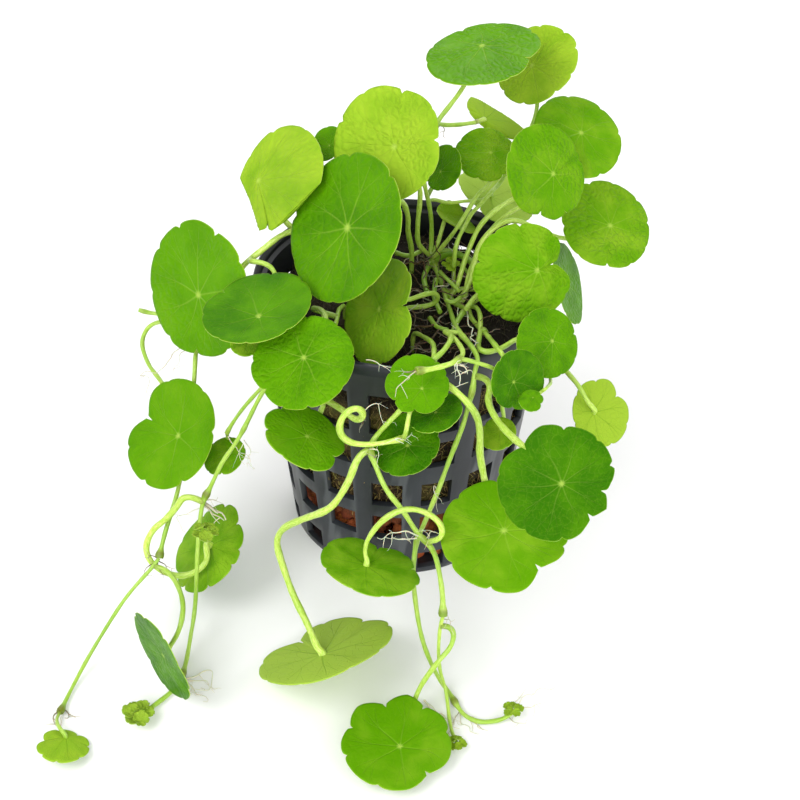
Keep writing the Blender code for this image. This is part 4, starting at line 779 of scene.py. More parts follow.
def blade_surface(blade, look, lobes, rings, spokes):
    """Points of the middle surface and their pattern places, ring by ring from the heart."""
    source = seeded(blade.name + " surface")
    angles = lobes.spokes(spokes)
    rim = lobes.rim(angles, blade) * blade.radius
    spoke = np.outer(np.cos(angles), blade.long_axis) + np.outer(np.sin(angles), blade.short_axis)
    reach = blade.centre + spoke * rim[:, None] - blade.heart
    shares = np.linspace(0.0, 1.0, rings + 1)[1:]
    phase = lobes.phase(angles)
    turn = phase / lobes.count * 2 * math.pi
    sway = source.uniform(*VEIN_SWAY)
    bend = source.uniform(0, 2 * math.pi)
    points = blade.heart + reach[None, :, :] * shares[:, None, None]
    across = (points - blade.centre) @ blade.long_axis / blade.radius
    along = (points - blade.centre) @ blade.short_axis / blade.radius
    share = np.broadcast_to(shares[:, None], across.shape)
    bent = turn[None, :] + sway * np.sin(share * 5.0 + bend) * np.sin(turn * 2 + bend)[None, :]
    rise = blade.cup * share ** 2
    rise = rise + look["wave"] * share ** 2 * np.sin(phase * math.pi + bend)[None, :] * WAVE_SHARE
    rise = rise + look["wave"] * share ** 2 * ripple(across, along, source, 4, WAVE_PITCH)
    count = lobes.count
    fade = np.clip(share * 6, 0, 1) * np.clip((1.04 - share) * 8, 0, 1)
    patchy = np.clip(0.35 + 0.9 * ripple(across, along, source, 3, PATCH_PITCH), 0.0, 1.0)
    blisters = ripple(across, along, source, 7, BLISTER_PITCH)
    rise = rise + BLISTER_HEIGHT * look["pucker"] * fade * patchy * blisters
    rise = rise - VEIN_GROOVE * (0.4 + look["pucker"]) * fade * vein_rise(
        bent / (2 * math.pi) * count, share, count)
    tuck = np.zeros_like(points)
    for first, second, lift, turned in look["folds"]:
        first = blade.on_plane(*first)
        direction = np.cross(blade.on_plane(*second) - first, blade.normal)
        direction *= np.sign((first - blade.centre) @ direction) / np.linalg.norm(direction)
        over = np.maximum((points - first) @ direction / blade.radius, 0.0)
        rise = rise + lift * over ** 1.2
        tuck = tuck - turned * over[:, :, None] * direction
    points = points + (blade.normal * rise[:, :, None] + tuck) * blade.radius
    pattern = np.stack((0.5 + 0.5 * share * np.cos(bent), 0.5 + 0.5 * share * np.sin(bent)), axis=2)
    return points, pattern


def blade_mesh(blade, look, materials, thickness, scallop, fineness):
    """A closed leaf blade: upper skin, underside and thin rim."""
    rings, spokes = fineness
    lobes = Lobes(blade, look["lobes"], scallop, seeded(blade.name))
    points, pattern = blade_surface(blade, look, lobes, rings, spokes)
    shares = np.linspace(0.0, 1.0, rings + 1)[1:]
    half = 0.5 * thickness * (1.0 - RIM_THINNING * shares ** RIM_THINNING_POWER)
    offset = blade.normal[None, None, :] * half[:, None, None]
    sheets = []
    for side in (1.0, -1.0):
        heart = blade.heart + blade.normal * (side * 0.5 * thickness)
        sheets.append(np.vstack((heart[None, :], (points + side * offset).reshape(-1, 3))))
    vertices = np.vstack(sheets) * MILLIMETRE
    below = 1 + rings * spokes
    faces = []
    kinds = []
    for index in range(spokes):
        following = (index + 1) % spokes
        faces += [(0, 1 + index, 1 + following), (below, below + 1 + following, below + 1 + index)]
        for inner in range(1, 1 + (rings - 1) * spokes, spokes):
            outer = inner + spokes
            quad = (inner + index, outer + index, outer + following, inner + following)
            faces += [quad, tuple(below + corner for corner in reversed(quad))]
        kinds += [0, 1] * rings
        rim = 1 + (rings - 1) * spokes
        faces.append((rim + index, below + rim + index, below + rim + following, rim + following))
        kinds.append(2)
    mesh = smooth_mesh(blade.name, vertices, faces)
    for material in materials:
        mesh.materials.append(material)
    mesh.polygons.foreach_set("material_index", kinds)
    flat = np.vstack(([[0.5, 0.5]], pattern.reshape(-1, 2)))
    places = np.vstack((flat, flat))
    corners = np.zeros(len(mesh.loops), dtype=int)
    mesh.loops.foreach_get("vertex_index", corners)
    layer = mesh.uv_layers.new(name="blade")
    layer.data.foreach_set("uv", places[corners].ravel())
    seed = seeded(blade.name + " skin").uniform(0, SKIN_SPREAD)
    for key, value in (("leaf_seed", seed), ("vein_count", lobes.count), ("leaf_tone", look["tone"]),
                       ("leaf_pucker", look["pucker"])):
        store(mesh, key, value)
    return mesh


def smooth_mesh(name, vertices, faces):
    """A smooth mesh from its points and faces."""
    mesh = bpy.data.meshes.new(name)
    mesh.from_pydata(vertices.tolist(), [], faces)
    mesh.polygons.foreach_set("use_smooth", [True] * len(faces))
    return mesh


def store(mesh, name, value):
    """Stores one number, or one for each point, on a mesh."""
    layer = mesh.attributes.new(name, "FLOAT", "POINT")
    values = np.broadcast_to(np.asarray(value, dtype=float), (len(mesh.vertices),))
    layer.data.foreach_set("value", np.ascontiguousarray(values))


def line_mesh(name, strands):
    """Loose lines with numbers on their points; a strand is its path and a dictionary of numbers."""
    points = np.concatenate([path for path, _ in strands]) * MILLIMETRE
    edges = []
    start = 0
    for path, _ in strands:
        edges += [(start + index, start + index + 1) for index in range(len(path) - 1)]
        start += len(path)
    mesh = bpy.data.meshes.new(name)
    mesh.from_pydata(points.tolist(), edges, [])
    for key in strands[0][1]:
        values = [np.broadcast_to(np.asarray(numbers[key], dtype=float), (len(path),))
                  for path, numbers in strands]
        store(mesh, key, np.concatenate(values))
    return mesh


def add_object(name, mesh):
    """A piece in the scene, at the origin."""
    piece = bpy.data.objects.new(name, mesh)
    bpy.context.scene.collection.objects.link(piece)
    return piece


def applied(piece):
    """Turns a piece and its modifiers into a plain mesh."""
    graph = bpy.context.evaluated_depsgraph_get()
    mesh = bpy.data.meshes.new_from_object(piece.evaluated_get(graph))
    piece.modifiers.clear()
    old = piece.data
    piece.data = mesh
    bpy.data.meshes.remove(old)
    mesh.name = piece.name
    return piece


def joined(pieces, name):
    """Several pieces as one."""
    keeper = pieces[0]
    with bpy.context.temp_override(active_object=keeper, selected_editable_objects=pieces,
                                   selected_objects=pieces):
        bpy.ops.object.join()
    keeper.name = name
    keeper.data.name = name
    return keeper


class Tree(Nodes):
    """A Geometry Nodes tree with named inputs."""

    def __init__(self, name, **inputs):
        super().__init__(bpy.data.node_groups.new(name, "GeometryNodeTree"), "GeometryNode")
        self.keys = {}
        for way in ("INPUT", "OUTPUT"):
            self.tree.interface.new_socket("Geometry", in_out=way, socket_type="NodeSocketGeometry")
        for label, default in {**inputs, "Material": None}.items():
            kind = {int: "Int", float: "Float"}.get(type(default), "Material")
            socket = self.tree.interface.new_socket(label, in_out="INPUT", socket_type="NodeSocket" + kind)
            if default is not None:
                socket.default_value = default
            self.keys[label] = socket.identifier
        self.input = self.add("NodeGroupInput")
        self.output = self.add("NodeGroupOutput")

    def __getitem__(self, label):
        return Value(self, self.input.outputs[label])

    def finish(self, geometry, *others):
        """Realizes and dresses the geometry, joins others to it, and puts them out."""
        result = self.out("SetMaterial", {0: self.real(geometry), "Material": self["Material"]})
        if others:
            both = self.add("JoinGeometry")
            for part in (result, *others):
                self.feed(both.inputs[0], part)
            result = self.real(Value(self, both.outputs[0]))
        self.feed(self.output.inputs[0], result)

    def real(self, geometry):
        """Instances turned into geometry of their own."""
        return self.out("RealizeInstances", {0: geometry})

    def random(self, low, high, seed, places=False):
        """A number or a place that differs from point to point."""
        first, pick, kind = (0, 0, "FLOAT_VECTOR") if places else (2, 1, "FLOAT")
        values = {first: low, first + 1: high, "Seed": seed}
        return self.out("FunctionNodeRandomValue", values, pick, data_type=kind)

    def scattered(self, points, shape, seeds, scale):
        """A shape on every point, turned and picked at random, as real geometry."""
        turn = self.random((0.0, 0.0, 0.0), (6.28, 6.28, 6.28), seeds[0], True)
        placed = self.out("InstanceOnPoints", {"Points": points, "Instance": shape, "Rotation": turn,
                                               "Scale": scale})
        return self.real(self.out("StoreNamedAttribute", {
            "Geometry": placed, "Name": "pick", "Value": self.random(0.0, 1.0, seeds[1])},
            data_type="FLOAT", domain="INSTANCE"))

    def tube(self, line, section, size):
        """A section swept along lines."""
        return self.out("CurveToMesh", {"Curve": line, "Profile Curve": section, "Scale": size,
                                        "Fill Caps": True})

    def use(self, piece, **values):
        """Puts the tree on a piece with its inputs set, and applies it."""
        modifier = piece.modifiers.new(self.tree.name, "NODES")
        modifier.node_group = self.tree
        for label, value in values.items():
            modifier[self.keys[label]] = value
        return applied(piece)


def stem_tree():
    """Lines into fleshy stems: a ridged section whose size follows the line."""
    tree = Tree("fleshy_stems", Sides=12, Ridge=0.06)
    section = tree.out("CurvePrimitiveCircle", {"Resolution": tree["Sides"], "Radius": 1.0})
    turn = tree.out("SplineParameter", pick="Factor") * (2 * math.pi)
    around = tree.place_of(tree.math("COSINE", turn), tree.math("SINE", turn))
    marked = tree.out("StoreNamedAttribute", {"Geometry": section, "Name": "around", "Value": around},
                      data_type="FLOAT_VECTOR", domain="POINT")
    swell = tree.math("MULTIPLY_ADD", tree.math("COSINE", turn * 4.0), tree["Ridge"], 1.0)
    ridged = tree.vector("SCALE", tree.out("InputPosition"), swell)
    profile = tree.out("SetPosition", {"Geometry": marked, "Position": ridged})
    thickness = tree.out("InputNamedAttribute", {"Name": "thickness"}, data_type="FLOAT")
    tube = tree.tube(tree.out("MeshToCurve", {0: tree["Geometry"]}), profile, thickness)
    tree.finish(tree.out("SetShadeSmooth", {"Geometry": tube}))
    return tree


FLOOR_SHADE = 0.985

# How light spreads inside a leaf
LEAF_GLOW = {"subsurface_scale": 0.0006, "subsurface_radius": (0.5, 1.0, 0.15)}


class Shader(Nodes):
    """The nodes of one material."""

    def __init__(self, material):
        super().__init__(material.node_tree, "ShaderNode")
        self.surface = self.tree.nodes["Principled BSDF"]

    def mix(self, share, first, second):
        """Two colours mixed by a share."""
        return self.out("Mix", {0: share, 6: first, 7: second}, 2, data_type="RGBA")

    def ramp(self, value, low, high, start=0.0, end=1.0):
        """A value carried smoothly from one range to another."""
        return self.out("MapRange", {0: value, 1: low, 2: high, 3: start, 4: end},
                        interpolation_type="SMOOTHSTEP")

    def attribute(self, name, output="Fac"):
        """A number stored on the mesh."""
        return self.out("Attribute", pick=output, attribute_name=name)

    def place(self):
        """Object coordinates."""
        return self.out("TexCoord", pick="Object")

    def upright(self, axis=2):
        """One of the object coordinates."""
        return self.out("SeparateXYZ", {0: self.place()}, axis)

    def drawn(self, place, scale, turn=(0.0, 0.0, 0.0)):
        """A place turned and drawn out along its axes."""
        return self.out("Mapping", {"Vector": place, "Rotation": turn, "Scale": scale})

    def noise(self, scale, detail=2.0, vector=None, roughness=0.5, pick=0):
        """Noise on a vector, or on the object's own place."""
        return self.out("TexNoise", {"Vector": vector or self.place(), "Scale": scale, "Detail": detail,
                                     "Roughness": roughness}, pick)

    def bump(self, height, strength, distance, normal=None):
        """A bump from a height."""
        values = {"Height": height, "Strength": strength, "Distance": distance}
        if normal:
            values["Normal"] = normal
        return self.out("Bump", values)

    def finish(self, **inputs):
        """Feeds the Principled shader."""
        for name, value in inputs.items():
            self.feed(self.surface.inputs[name.replace("_", " ").title().replace("Ior", "IOR")], value)


def recipe(name):
    """Turns a function that adds nodes into one that makes the material of that name."""
    def wrapped(cook):
        def made(look):
            material = bpy.data.materials.new(name)
            material.use_nodes = True
            cook(Shader(material), look)
            return material
        return made
    return wrapped


def vein_line(shader, distance, radius, widths, start, end):
    """Strength of a vein that narrows outwards between two shares of the radius."""
    line = shader.math("SUBTRACT", 1.0, distance / shader.ramp(radius, 0.0, 1.0, *widths), clamp=True)
    return line * (shader.ramp(radius, start, start + 0.03) * shader.ramp(radius, end - 0.12, end, 1.0, 0.0))


def vein_pattern(shader):
    """Share of the radius, strong veins, fine net, distance from the net, and a seeded place."""
    uv = shader.out("UVMap", uv_map="blade")
    doubled = shader.vector("SCALE", shader.vector("SUBTRACT", uv, (0.5, 0.5, 0.0)), 2.0)
    seed = shader.attribute("leaf_seed")
    shifted = shader.vector("ADD", doubled, shader.place_of(seed, seed, seed))
    radius = shader.out("VectorMath", {0: doubled}, "Value", operation="LENGTH")
    parts = shader.add("SeparateXYZ", {0: doubled}).outputs
    angle = shader.math("ARCTAN2", Value(shader, parts[1]), Value(shader, parts[0]))
    count = shader.attribute("vein_count")
    offset = shader.math("ABSOLUTE", shader.math("FRACT", angle / (2 * math.pi) * count) - 0.5)
    lateral = offset * shader.math("DIVIDE", 2 * math.pi, count) * radius
    slope = shader.math("MAXIMUM", radius - 0.45, 0.0) * 0.38
    main = vein_line(shader, lateral, radius, (0.020, 0.009), 0.0, 0.95)
    forked = vein_line(shader, shader.math("ABSOLUTE", lateral - slope), radius, (0.014, 0.008), 0.45, 0.97)
    strong = shader.math("MAXIMUM", main, forked * 0.7)
    net = shader.out("TexVoronoi", {"Vector": shifted, "Scale": 7.5}, "Distance",
                     feature="DISTANCE_TO_EDGE", voronoi_dimensions="2D")
    fine = shader.ramp(net, 0.0, 0.09, 1.0, 0.0) * shader.ramp(radius, 0.08, 0.3)
    return radius, strong, fine, net, shifted


def leaf_skin(shader, dark, middle, pale, patch, spread):
    """The green of a blade by its tone, cloudy with patches of its pattern."""
    tone = shader.attribute("leaf_tone")
    shade = shader.math("ADD", tone, shader.ramp(patch, 0.25, 0.75, -spread, spread), clamp=True)
    dull = shader.mix(shader.ramp(shade, 0.0, 0.5), dark, middle)
    return tone, shader.mix(shader.ramp(shade, 0.45, 1.0), dull, pale)


@recipe("leaf_upper_skin")
def leaf_upper_material(shader, look):
    """The waxy upper face: toned green, paler veins, blistered skin between them."""
    mix, ramp = shader.mix, shader.ramp
    radius, strong, fine, net, shifted = vein_pattern(shader)
    tone, skin = leaf_skin(shader, look.deep_green_and_hollow_shade, look.mid_green, look.pale_green,
                           shader.noise(1.7, 3.0, shifted), 0.12)
    skin = mix(ramp(shader.noise(26.0, 2.0, shifted), 0.5, 0.75) * 0.08, skin, look.pale_green)
    # Darker along the net between the blisters: painted shade in the skin's hollows.
    skin = mix(ramp(net, 0.0, 0.35, 1.0, 0.0) * 0.06, skin, look.deep_green_and_hollow_shade)
    vein_colour = mix(tone, look.vein_and_lit_green, look.pale_green)
    raised = shader.attribute("leaf_pucker")
    shown = strong * ramp(radius, 0.1, 0.95, 0.24, 0.07) * ramp(raised, 0.0, 0.6, 0.6, 1.1)
    skin = mix(shown, skin, vein_colour)
    skin = mix(fine * 0.04, skin, vein_colour)
    skin = mix(fine * ramp(tone, 0.95, 1.0, 0.0, 0.4), skin, look.mid_green)
    # Tones over 1 go past pale green: painted light on the blade.
    skin = mix(ramp(tone, 1.0, 1.4, 0.0, 0.7), skin, look.vein_and_lit_green)
    skin = mix(ramp(radius, 0.0, 0.085, 0.7, 0.0), skin, look.vein_and_lit_green)
    skin = mix(ramp(radius, 0.978, 0.998, 0.0, 0.35), skin, look.pale_green)
    where = shader.vector("ADD", shifted, (3.7, 1.9, 0.0))
    pucker = raised * ramp(shader.noise(1.4, 2.0, where), 0.36, 0.56, 0.2, 1.0)
    blister = ramp(net, 0.0, 0.4) * pucker * 0.9
    height = shader.noise(4.5, 2.0, shifted) * pucker + blister - strong * 0.3
    normal = shader.bump(height, 0.65, 0.00036)
    normal = shader.bump(shader.noise(60.0, 2.0, shifted), 0.35, 0.00004, normal)
    rough = ramp(shader.noise(9.0, 2.0, shifted), 0.3, 0.7, 0.38, 0.52)
    shader.finish(base_color=skin, roughness=rough, normal=normal, specular_ior_level=0.11,
                  specular_tint=look.sheen, subsurface_weight=0.10, **LEAF_GLOW)


@recipe("leaf_underside_skin")
def leaf_under_material(shader, look):
    """The paler, duller underside, with its veins standing out."""
    mix, ramp = shader.mix, shader.ramp
    radius, strong, fine, _, shifted = vein_pattern(shader)
    tone, skin = leaf_skin(shader, look.mid_green, look.under_green, look.pale_green,
                           shader.noise(2.2, 3.0, shifted), 0.15)
    # Tones over 1 go past pale green: painted light on the blade.
    skin = mix(ramp(tone, 1.0, 1.4, 0.0, 0.7), skin, look.vein_and_lit_green)
    skin = mix(strong * 0.34, skin, look.mid_green)
    skin = mix(fine * 0.10, skin, look.mid_green)
    skin = mix(ramp(radius, 0.0, 0.08, 0.8, 0.0), skin, look.vein_and_lit_green)
    normal = shader.bump(strong * 1.0 + fine * 0.4, 0.5, 0.0002)
    normal = shader.bump(shader.noise(55.0, 2.0, shifted), 0.3, 0.00004, normal)
    shader.finish(base_color=skin, roughness=0.6, normal=normal, specular_ior_level=0.09,
                  specular_tint=look.sheen, subsurface_weight=0.12, **LEAF_GLOW)


@recipe("leaf_rim_skin")
def leaf_edge_material(shader, look):
    """The thin, clear rim of a blade."""
    shade = shader.noise(900.0)
    shader.finish(base_color=shader.mix(shade, look.under_green, look.vein_and_lit_green), roughness=0.45,
                  normal=shader.bump(shade, 0.3, 0.00003), subsurface_weight=0.2, subsurface_scale=0.0005)


@recipe("stem_flesh")
def stem_material(shader, look):
    """Fleshy stems: pale green, streaked along their length, darker towards the base."""
    mix, ramp = shader.mix, shader.ramp
    around = shader.vector("SCALE", shader.attribute("around", "Vector"), 4.0)
    run = shader.vector("ADD", around, shader.out("CombineXYZ", {2: shader.attribute("along")}))
    streak = shader.noise(1.3, 3.0, run)
    green = mix(ramp(streak, 0.35, 0.65), look.stem_green, look.stem_pale)
    green = mix(shader.attribute("stem_tone"), look.stem_deep, green)
    green = mix(ramp(shader.noise(260.0), 0.55, 0.75) * 0.25, green, look.stem_deep)
    green = mix(shader.attribute("joint"), green, mix(shader.noise(700.0), look.joint_brown, look.stem_deep))
    ridge = streak + shader.noise(1500.0) * 0.35
    shader.finish(base_color=green, roughness=0.36, normal=shader.bump(ridge, 0.5, 0.00009),
                  specular_ior_level=0.45, subsurface_weight=0.22, subsurface_scale=0.0008,
                  subsurface_radius=(0.6, 1.0, 0.2))


@recipe("root_hair")
def root_material(shader, look):
    """Fine roots: clear white at the tips, brown where they are old."""
    patch = shader.noise(420.0, 3.0)
    fresh = shader.mix(patch, look.root_white, look.root_cream)
    shader.finish(base_color=shader.mix(shader.attribute("age"), fresh, look.joint_brown), roughness=0.5,
                  normal=shader.bump(patch, 0.4, 0.00004), subsurface_weight=0.3, subsurface_scale=0.0004)


@recipe("moulded_pot_plastic")
def pot_material(shader, look):
    """Moulded dark plastic: faint flow marks, fine grain, dust in patches and worn edges."""
    mix, ramp = shader.mix, shader.ramp
    cloud = shader.noise(70.0, 4.0)
    flow = shader.noise(1.0, 3.0, shader.drawn(shader.place(), (900.0, 900.0, 40.0)))
    base = mix(ramp(cloud, 0.35, 0.7), look.pot_dark, look.pot_grey)
    base = mix(ramp(flow, 0.5, 0.8) * 0.3, base, look.pot_grey)
    edge = shader.out("NewGeometry", pick="Pointiness")
    base = mix(ramp(edge, 0.53, 0.62, 0.0, 0.45), base, look.pot_worn)
    # Faces that look inwards go darker: painted shade inside the pot.
    outward = shader.vector("MULTIPLY", shader.place(), (1.0, 1.0, 0.0))
    facing = shader.vector("DOT_PRODUCT", outward, shader.out("NewGeometry", pick="Normal"), "Value")
    base = mix(ramp(facing, -0.006, 0.0, 0.85, 0.0), base, look.pot_inside_shade)
    normal = shader.bump(shader.noise(2600.0), 0.25, 0.00003)
    normal = shader.bump(flow, 0.25, 0.00005, normal)
    shader.finish(base_color=base, roughness=ramp(cloud, 0.3, 0.7, 0.30, 0.48), normal=normal,
                  specular_ior_level=0.38)


@recipe("rockwool_fibre")
def rockwool_material(shader, look):
    """Matted mineral fibre: brown with olive, ochre and dark strands, and painted shade on its right side and
    over its top.
    """
    mix, ramp = shader.mix, shader.ramp
    warp = shader.vector("SCALE", shader.noise(120.0, 3.0, pick="Color"), 0.006)
    bent = shader.vector("ADD", warp, shader.place())
    strand = shader.noise(1.0, 4.0, shader.drawn(bent, (2600.0, 420.0, 900.0), (0.5, 0.3, 0.6)), 0.65)
    clump = shader.noise(150.0, 4.0)
    colour = mix(ramp(strand, 0.35, 0.68), look.wool_dark_and_shade, look.wool_brown)
    colour = mix(ramp(clump, 0.5, 0.72, 0.0, 0.7), colour, look.wool_ochre)
    colour = mix(ramp(shader.noise(60.0), 0.5, 0.7, 0.0, 0.5), colour, look.wool_olive)
    # Painted shade: darker towards the right side, away from the key light, and darker still over the top,
    # down in the pot's mouth.
    colour = mix(ramp(shader.upright(0), -0.010, 0.016, 0.0, 0.7), colour, look.wool_dark_and_shade)
    colour = mix(ramp(shader.upright(), 0.037, 0.041, 0.0, 0.92), colour, look.wool_dark_and_shade)
    shader.finish(base_color=colour, roughness=0.85, normal=shader.bump(strand + clump, 0.9, 0.0005),
                  specular_ior_level=0.25)


@recipe("rockwool_strand")
def strand_material(shader, look):
    """Loose mineral fibres, each a little different, with painted shade over the top of the plug."""
    mix, ramp = shader.mix, shader.ramp
    colour = mix(ramp(shader.attribute("pick"), 0.2, 0.8), look.wool_brown, look.wool_ochre)
    colour = mix(ramp(shader.noise(500.0), 0.4, 0.7), colour, look.wool_olive)
    # Darker over the top of the plug: painted shade in the pot's mouth.
    colour = mix(ramp(shader.upright(), 0.037, 0.041, 0.0, 0.88), colour, look.wool_dark_and_shade)
    shader.finish(base_color=colour, roughness=0.7, normal=shader.bump(shader.noise(3000.0), 0.3, 0.00003))


@recipe("fired_clay")
def clay_material(shader, look):
    """Fired clay pebbles: orange-red, dusty, pitted, and darker at the top where the plug sits on them, as
    painted shade.
    """
    mix, ramp = shader.mix, shader.ramp
    patch = shader.noise(420.0, 4.0)
    colour = mix(shader.attribute("pick"), look.clay_red, look.clay_orange)
    colour = mix(ramp(patch, 0.45, 0.7, 0.0, 0.65), colour, look.clay_dark_and_shade)
    # Darker at the top, under the plug: painted shade between pebbles and plug.
    colour = mix(ramp(shader.upright(), 0.006, 0.0115, 0.0, 0.8), colour, look.clay_dark_and_shade)
    pits = shader.out("TexVoronoi", {"Vector": shader.place(), "Scale": 1900.0}, "Distance")
    shader.finish(base_color=colour, roughness=0.88, normal=shader.bump(pits + patch, 0.8, 0.00025))


@recipe("pale_floor")
def floor_material(shader, look):
    """A plain floor, faintly cloudy."""
    shaded = [value * FLOOR_SHADE for value in look.floor_colour]
    cloud = shader.mix(shader.noise(3.0, 3.0), look.floor_colour, shaded)
    shader.finish(base_color=cloud, roughness=0.6, specular_ior_level=0.2)


@functools.cache
def skin_materials():
    """The three skins of a leaf, made once."""
    settings = bpy.context.scene.pennywort_leaves
    return [leaf_upper_material(settings), leaf_under_material(settings), leaf_edge_material(settings)]


# Joints and changes of thickness: stem, picture point, how much it swells, and over what length
JOINTS = (
    ("runner_left", (203, 502), 0.9, 0.9),
    ("runner_left", (184, 678), 0.7, 0.9),
    ("runner_left", (245, 438), 0.2, 0.9),
    ("runner_left_short", (227, 434), 0.3, 0.9),
    ("runner_far_left", (158, 560), 1.0, 0.9),
    ("runner_far_left_low", (60, 711), 1.0, 0.9),
    ("runner_front", (370, 449), 0.4, 0.9),
    ("runner_front", (426, 541), 0.4, 0.9),
    ("runner_front", (443, 617), 0.9, 0.9),
    ("runner_right", (460, 710), 0.9, 0.9),
    ("runner_right", (415, 541), 0.3, 0.9),
    ("runner_right", (471, 387), 0.35, 1.1),
    ("runner_right", (462, 336), 0.35, 7.0),
    ("runner_tip", (457, 361), 0.6, 0.9),
    ("runner_tip", (416, 371), 0.8, 1.0),
    ("runner_curl", (403, 439), 0.3, 0.8),
    ("runner_curl", (385, 443), -0.3, 3.0),
    ("runner_crown_back", (434, 262), 0.7, 0.9),
    ("runner_crown_front", (467, 311), 0.6, 0.9),
    ("runner_crown_front", (484, 332), 0.6, 0.9),
    ("runner_cut_end", (141, 311), 0.4, 0.9),
    ("leaf_hanging_centre", (366, 552), -0.3, 2.5),
)
STEM_STEP = 0.45
SHORT_JOINT = 2.0
JOINT_COLOUR_SHARE = 0.75
JOINT_COLOUR_GAIN = 1.4
THICKEST_STALK_SHARE = 0.2
BASE_SCAR = 0.85
BASE_SCAR_REACH = 0.9

# Short green stumps in the crown: runner, picture points, height, radius in millimetres and paleness
STUMPS = (
    ("runner_crown_back", ((439, 251), (452, 251), (465, 257), (478, 268)), 47.0, 0.42, 0.35),
    ("runner_crown_back", ((396, 253), (409, 256), (423, 250)), 46.5, 0.40, 0.4),
    ("runner_crown_back", ((440, 272), (449, 281), (459, 291)), 46.4, 0.34, 0.4),
    ("runner_crown_back", ((430, 264), (424, 277), (427, 292)), 45.6, 0.45, 0.15),
    ("runner_crown_back", ((436, 280), (434, 296), (440, 312)), 45.8, 0.40, 0.2),
    ("runner_crown_back", ((452, 262), (462, 266), (470, 276)), 46.6, 0.30, 0.5),
    ("runner_crown_front", ((484, 290), (474, 298), (466, 309)), 46.8, 0.42, 0.65),
    ("runner_crown_front", ((460, 298), (452, 303), (446, 300)), 46.2, 0.36, 0.4),
    ("runner_crown_front", ((463, 312), (455, 326), (452, 341)), 46.0, 0.42, 0.25),
    ("runner_crown_front", ((430, 318), (437, 327), (448, 330)), 45.6, 0.36, 0.2),
)
TONE_RANGE = 0.12

# Young leaves at a tip, as shares of their size
BUD_BLADE_THICKNESS = 0.22
BUD_CUP = 0.35
BUD_HEART_SHARE = 0.45
BUD_NOTCH = 0.4
BUD_SCALLOP = 3.0
BUD_RADIUS_SHARES = (0.38, 0.55)
BUD_LOOK = {"pucker": 0.6, "lobes": 7, "wave": 0.16, "folds": ()}


@functools.cache
def laid_out():
    """Blades and settled stems, as the solids have them."""
    blades = {leaf["name"]: Blade(leaf) for leaf in LEAVES}
    stems = attached(settle(all_stems(blades), blades))
    return blades, {stem.name: stem for stem in stems}


def nearest_on(stem, px, py):
    """Index of the stem's point that shows closest to a picture point."""
    line = sight(px, py)
    line = line / np.linalg.norm(line)
    away = stem.path - EYE
    apart = np.linalg.norm(away - np.outer(away @ line, line), axis=1)
    return int(np.argmin(apart))


def refined(path, step):
    """The path with points put in between, about a step apart."""
    lengths = np.concatenate(((0.0,), np.cumsum(np.linalg.norm(np.diff(path, axis=0), axis=1))))
    count = max(3, math.ceil(lengths[-1] / step))
    wanted = np.linspace(0.0, lengths[-1], count + 1)
    fine = np.stack([np.interp(wanted, lengths, path[:, axis]) for axis in range(3)], axis=1)
    for _ in range(3):
        fine[1:-1] = 0.25 * fine[:-2] + 0.5 * fine[1:-1] + 0.25 * fine[2:]
    return fine, wanted


def fleshy_line(stem):
    """The stem's fine path, and its thickness and colouring along it."""
    fine, along = refined(stem.path, STEM_STEP)
    source = seeded(stem.name + " stem")
    if stem.blade is None:
        usual, tone = RUNNER_ROWS[stem.name][0]
    else:
        look = look_of(stem.name)
        usual, tone = look["stem_radius"], look["stem_tone"]
    drift = source.uniform(0, 2 * math.pi)
    uneven = 0.06 * np.sin(along * 0.7 + drift) + 0.04 * np.sin(along * 1.9 + drift * 2)
    thickness = usual * (1.0 + uneven)
    joint = np.zeros(len(fine))
    for name, spot, swell, reach in JOINTS:
        if name != stem.name:
            continue
        middle = along[min(len(along) - 1, int(nearest_on(stem, *spot) / len(stem.path) * len(along)))]
        bump = np.exp(-((along - middle) / reach) ** 2)
        thickness = thickness * (1.0 + swell * bump)
        if swell > 0 and reach < SHORT_JOINT:
            bump = np.exp(-((along - middle) / (reach * JOINT_COLOUR_SHARE)) ** 2)
            joint = np.maximum(joint, JOINT_COLOUR_GAIN * swell * bump)
    if stem.blade is not None:
        thickness = thickness * (1.0 + STALK_FLARE * np.exp(-along / STALK_FLARE_REACH))
        joint = np.maximum(joint, BASE_SCAR * np.exp((along - along[-1]) / BASE_SCAR_REACH))
        thickness = np.minimum(thickness, THICKEST_STALK_SHARE * stem.blade.radius)
    numbers = {
        "thickness": thickness * MILLIMETRE,
        "along": along,
        "joint": np.clip(joint, 0.0, 1.0),
        "stem_tone": np.clip(tone + TONE_RANGE * np.sin(along * 0.35 + drift), 0.0, 1.0),
    }
    return fine, numbers


def stump_line(spots, height, radius, tone):
    """A short stump's fine path, and its thickness and colouring along it."""
    fine, along = refined(smooth_path([height_point(*spot, height) for spot in spots], STEM_STEP), STEM_STEP)
    swell = 1.0 + 0.3 * np.exp(-along / STALK_FLARE_REACH)
    return fine, {
        "thickness": radius * swell * MILLIMETRE,
        "along": along,
        "joint": 0.8 * np.exp(-along),
        "stem_tone": np.full(len(fine), tone),
    }


def stem_piece(stem, tree, settings, material):
    """One fleshy stem, with its stumps, as a mesh object."""
    lines = [fleshy_line(stem)] + [stump_line(*stump) for owner, *stump in STUMPS if owner == stem.name]
    piece = add_object(stem.name + "_stem", line_mesh(stem.name + "_stem", lines))
    return tree.use(piece, Sides=settings.sides, Ridge=settings.ridge, Material=material)


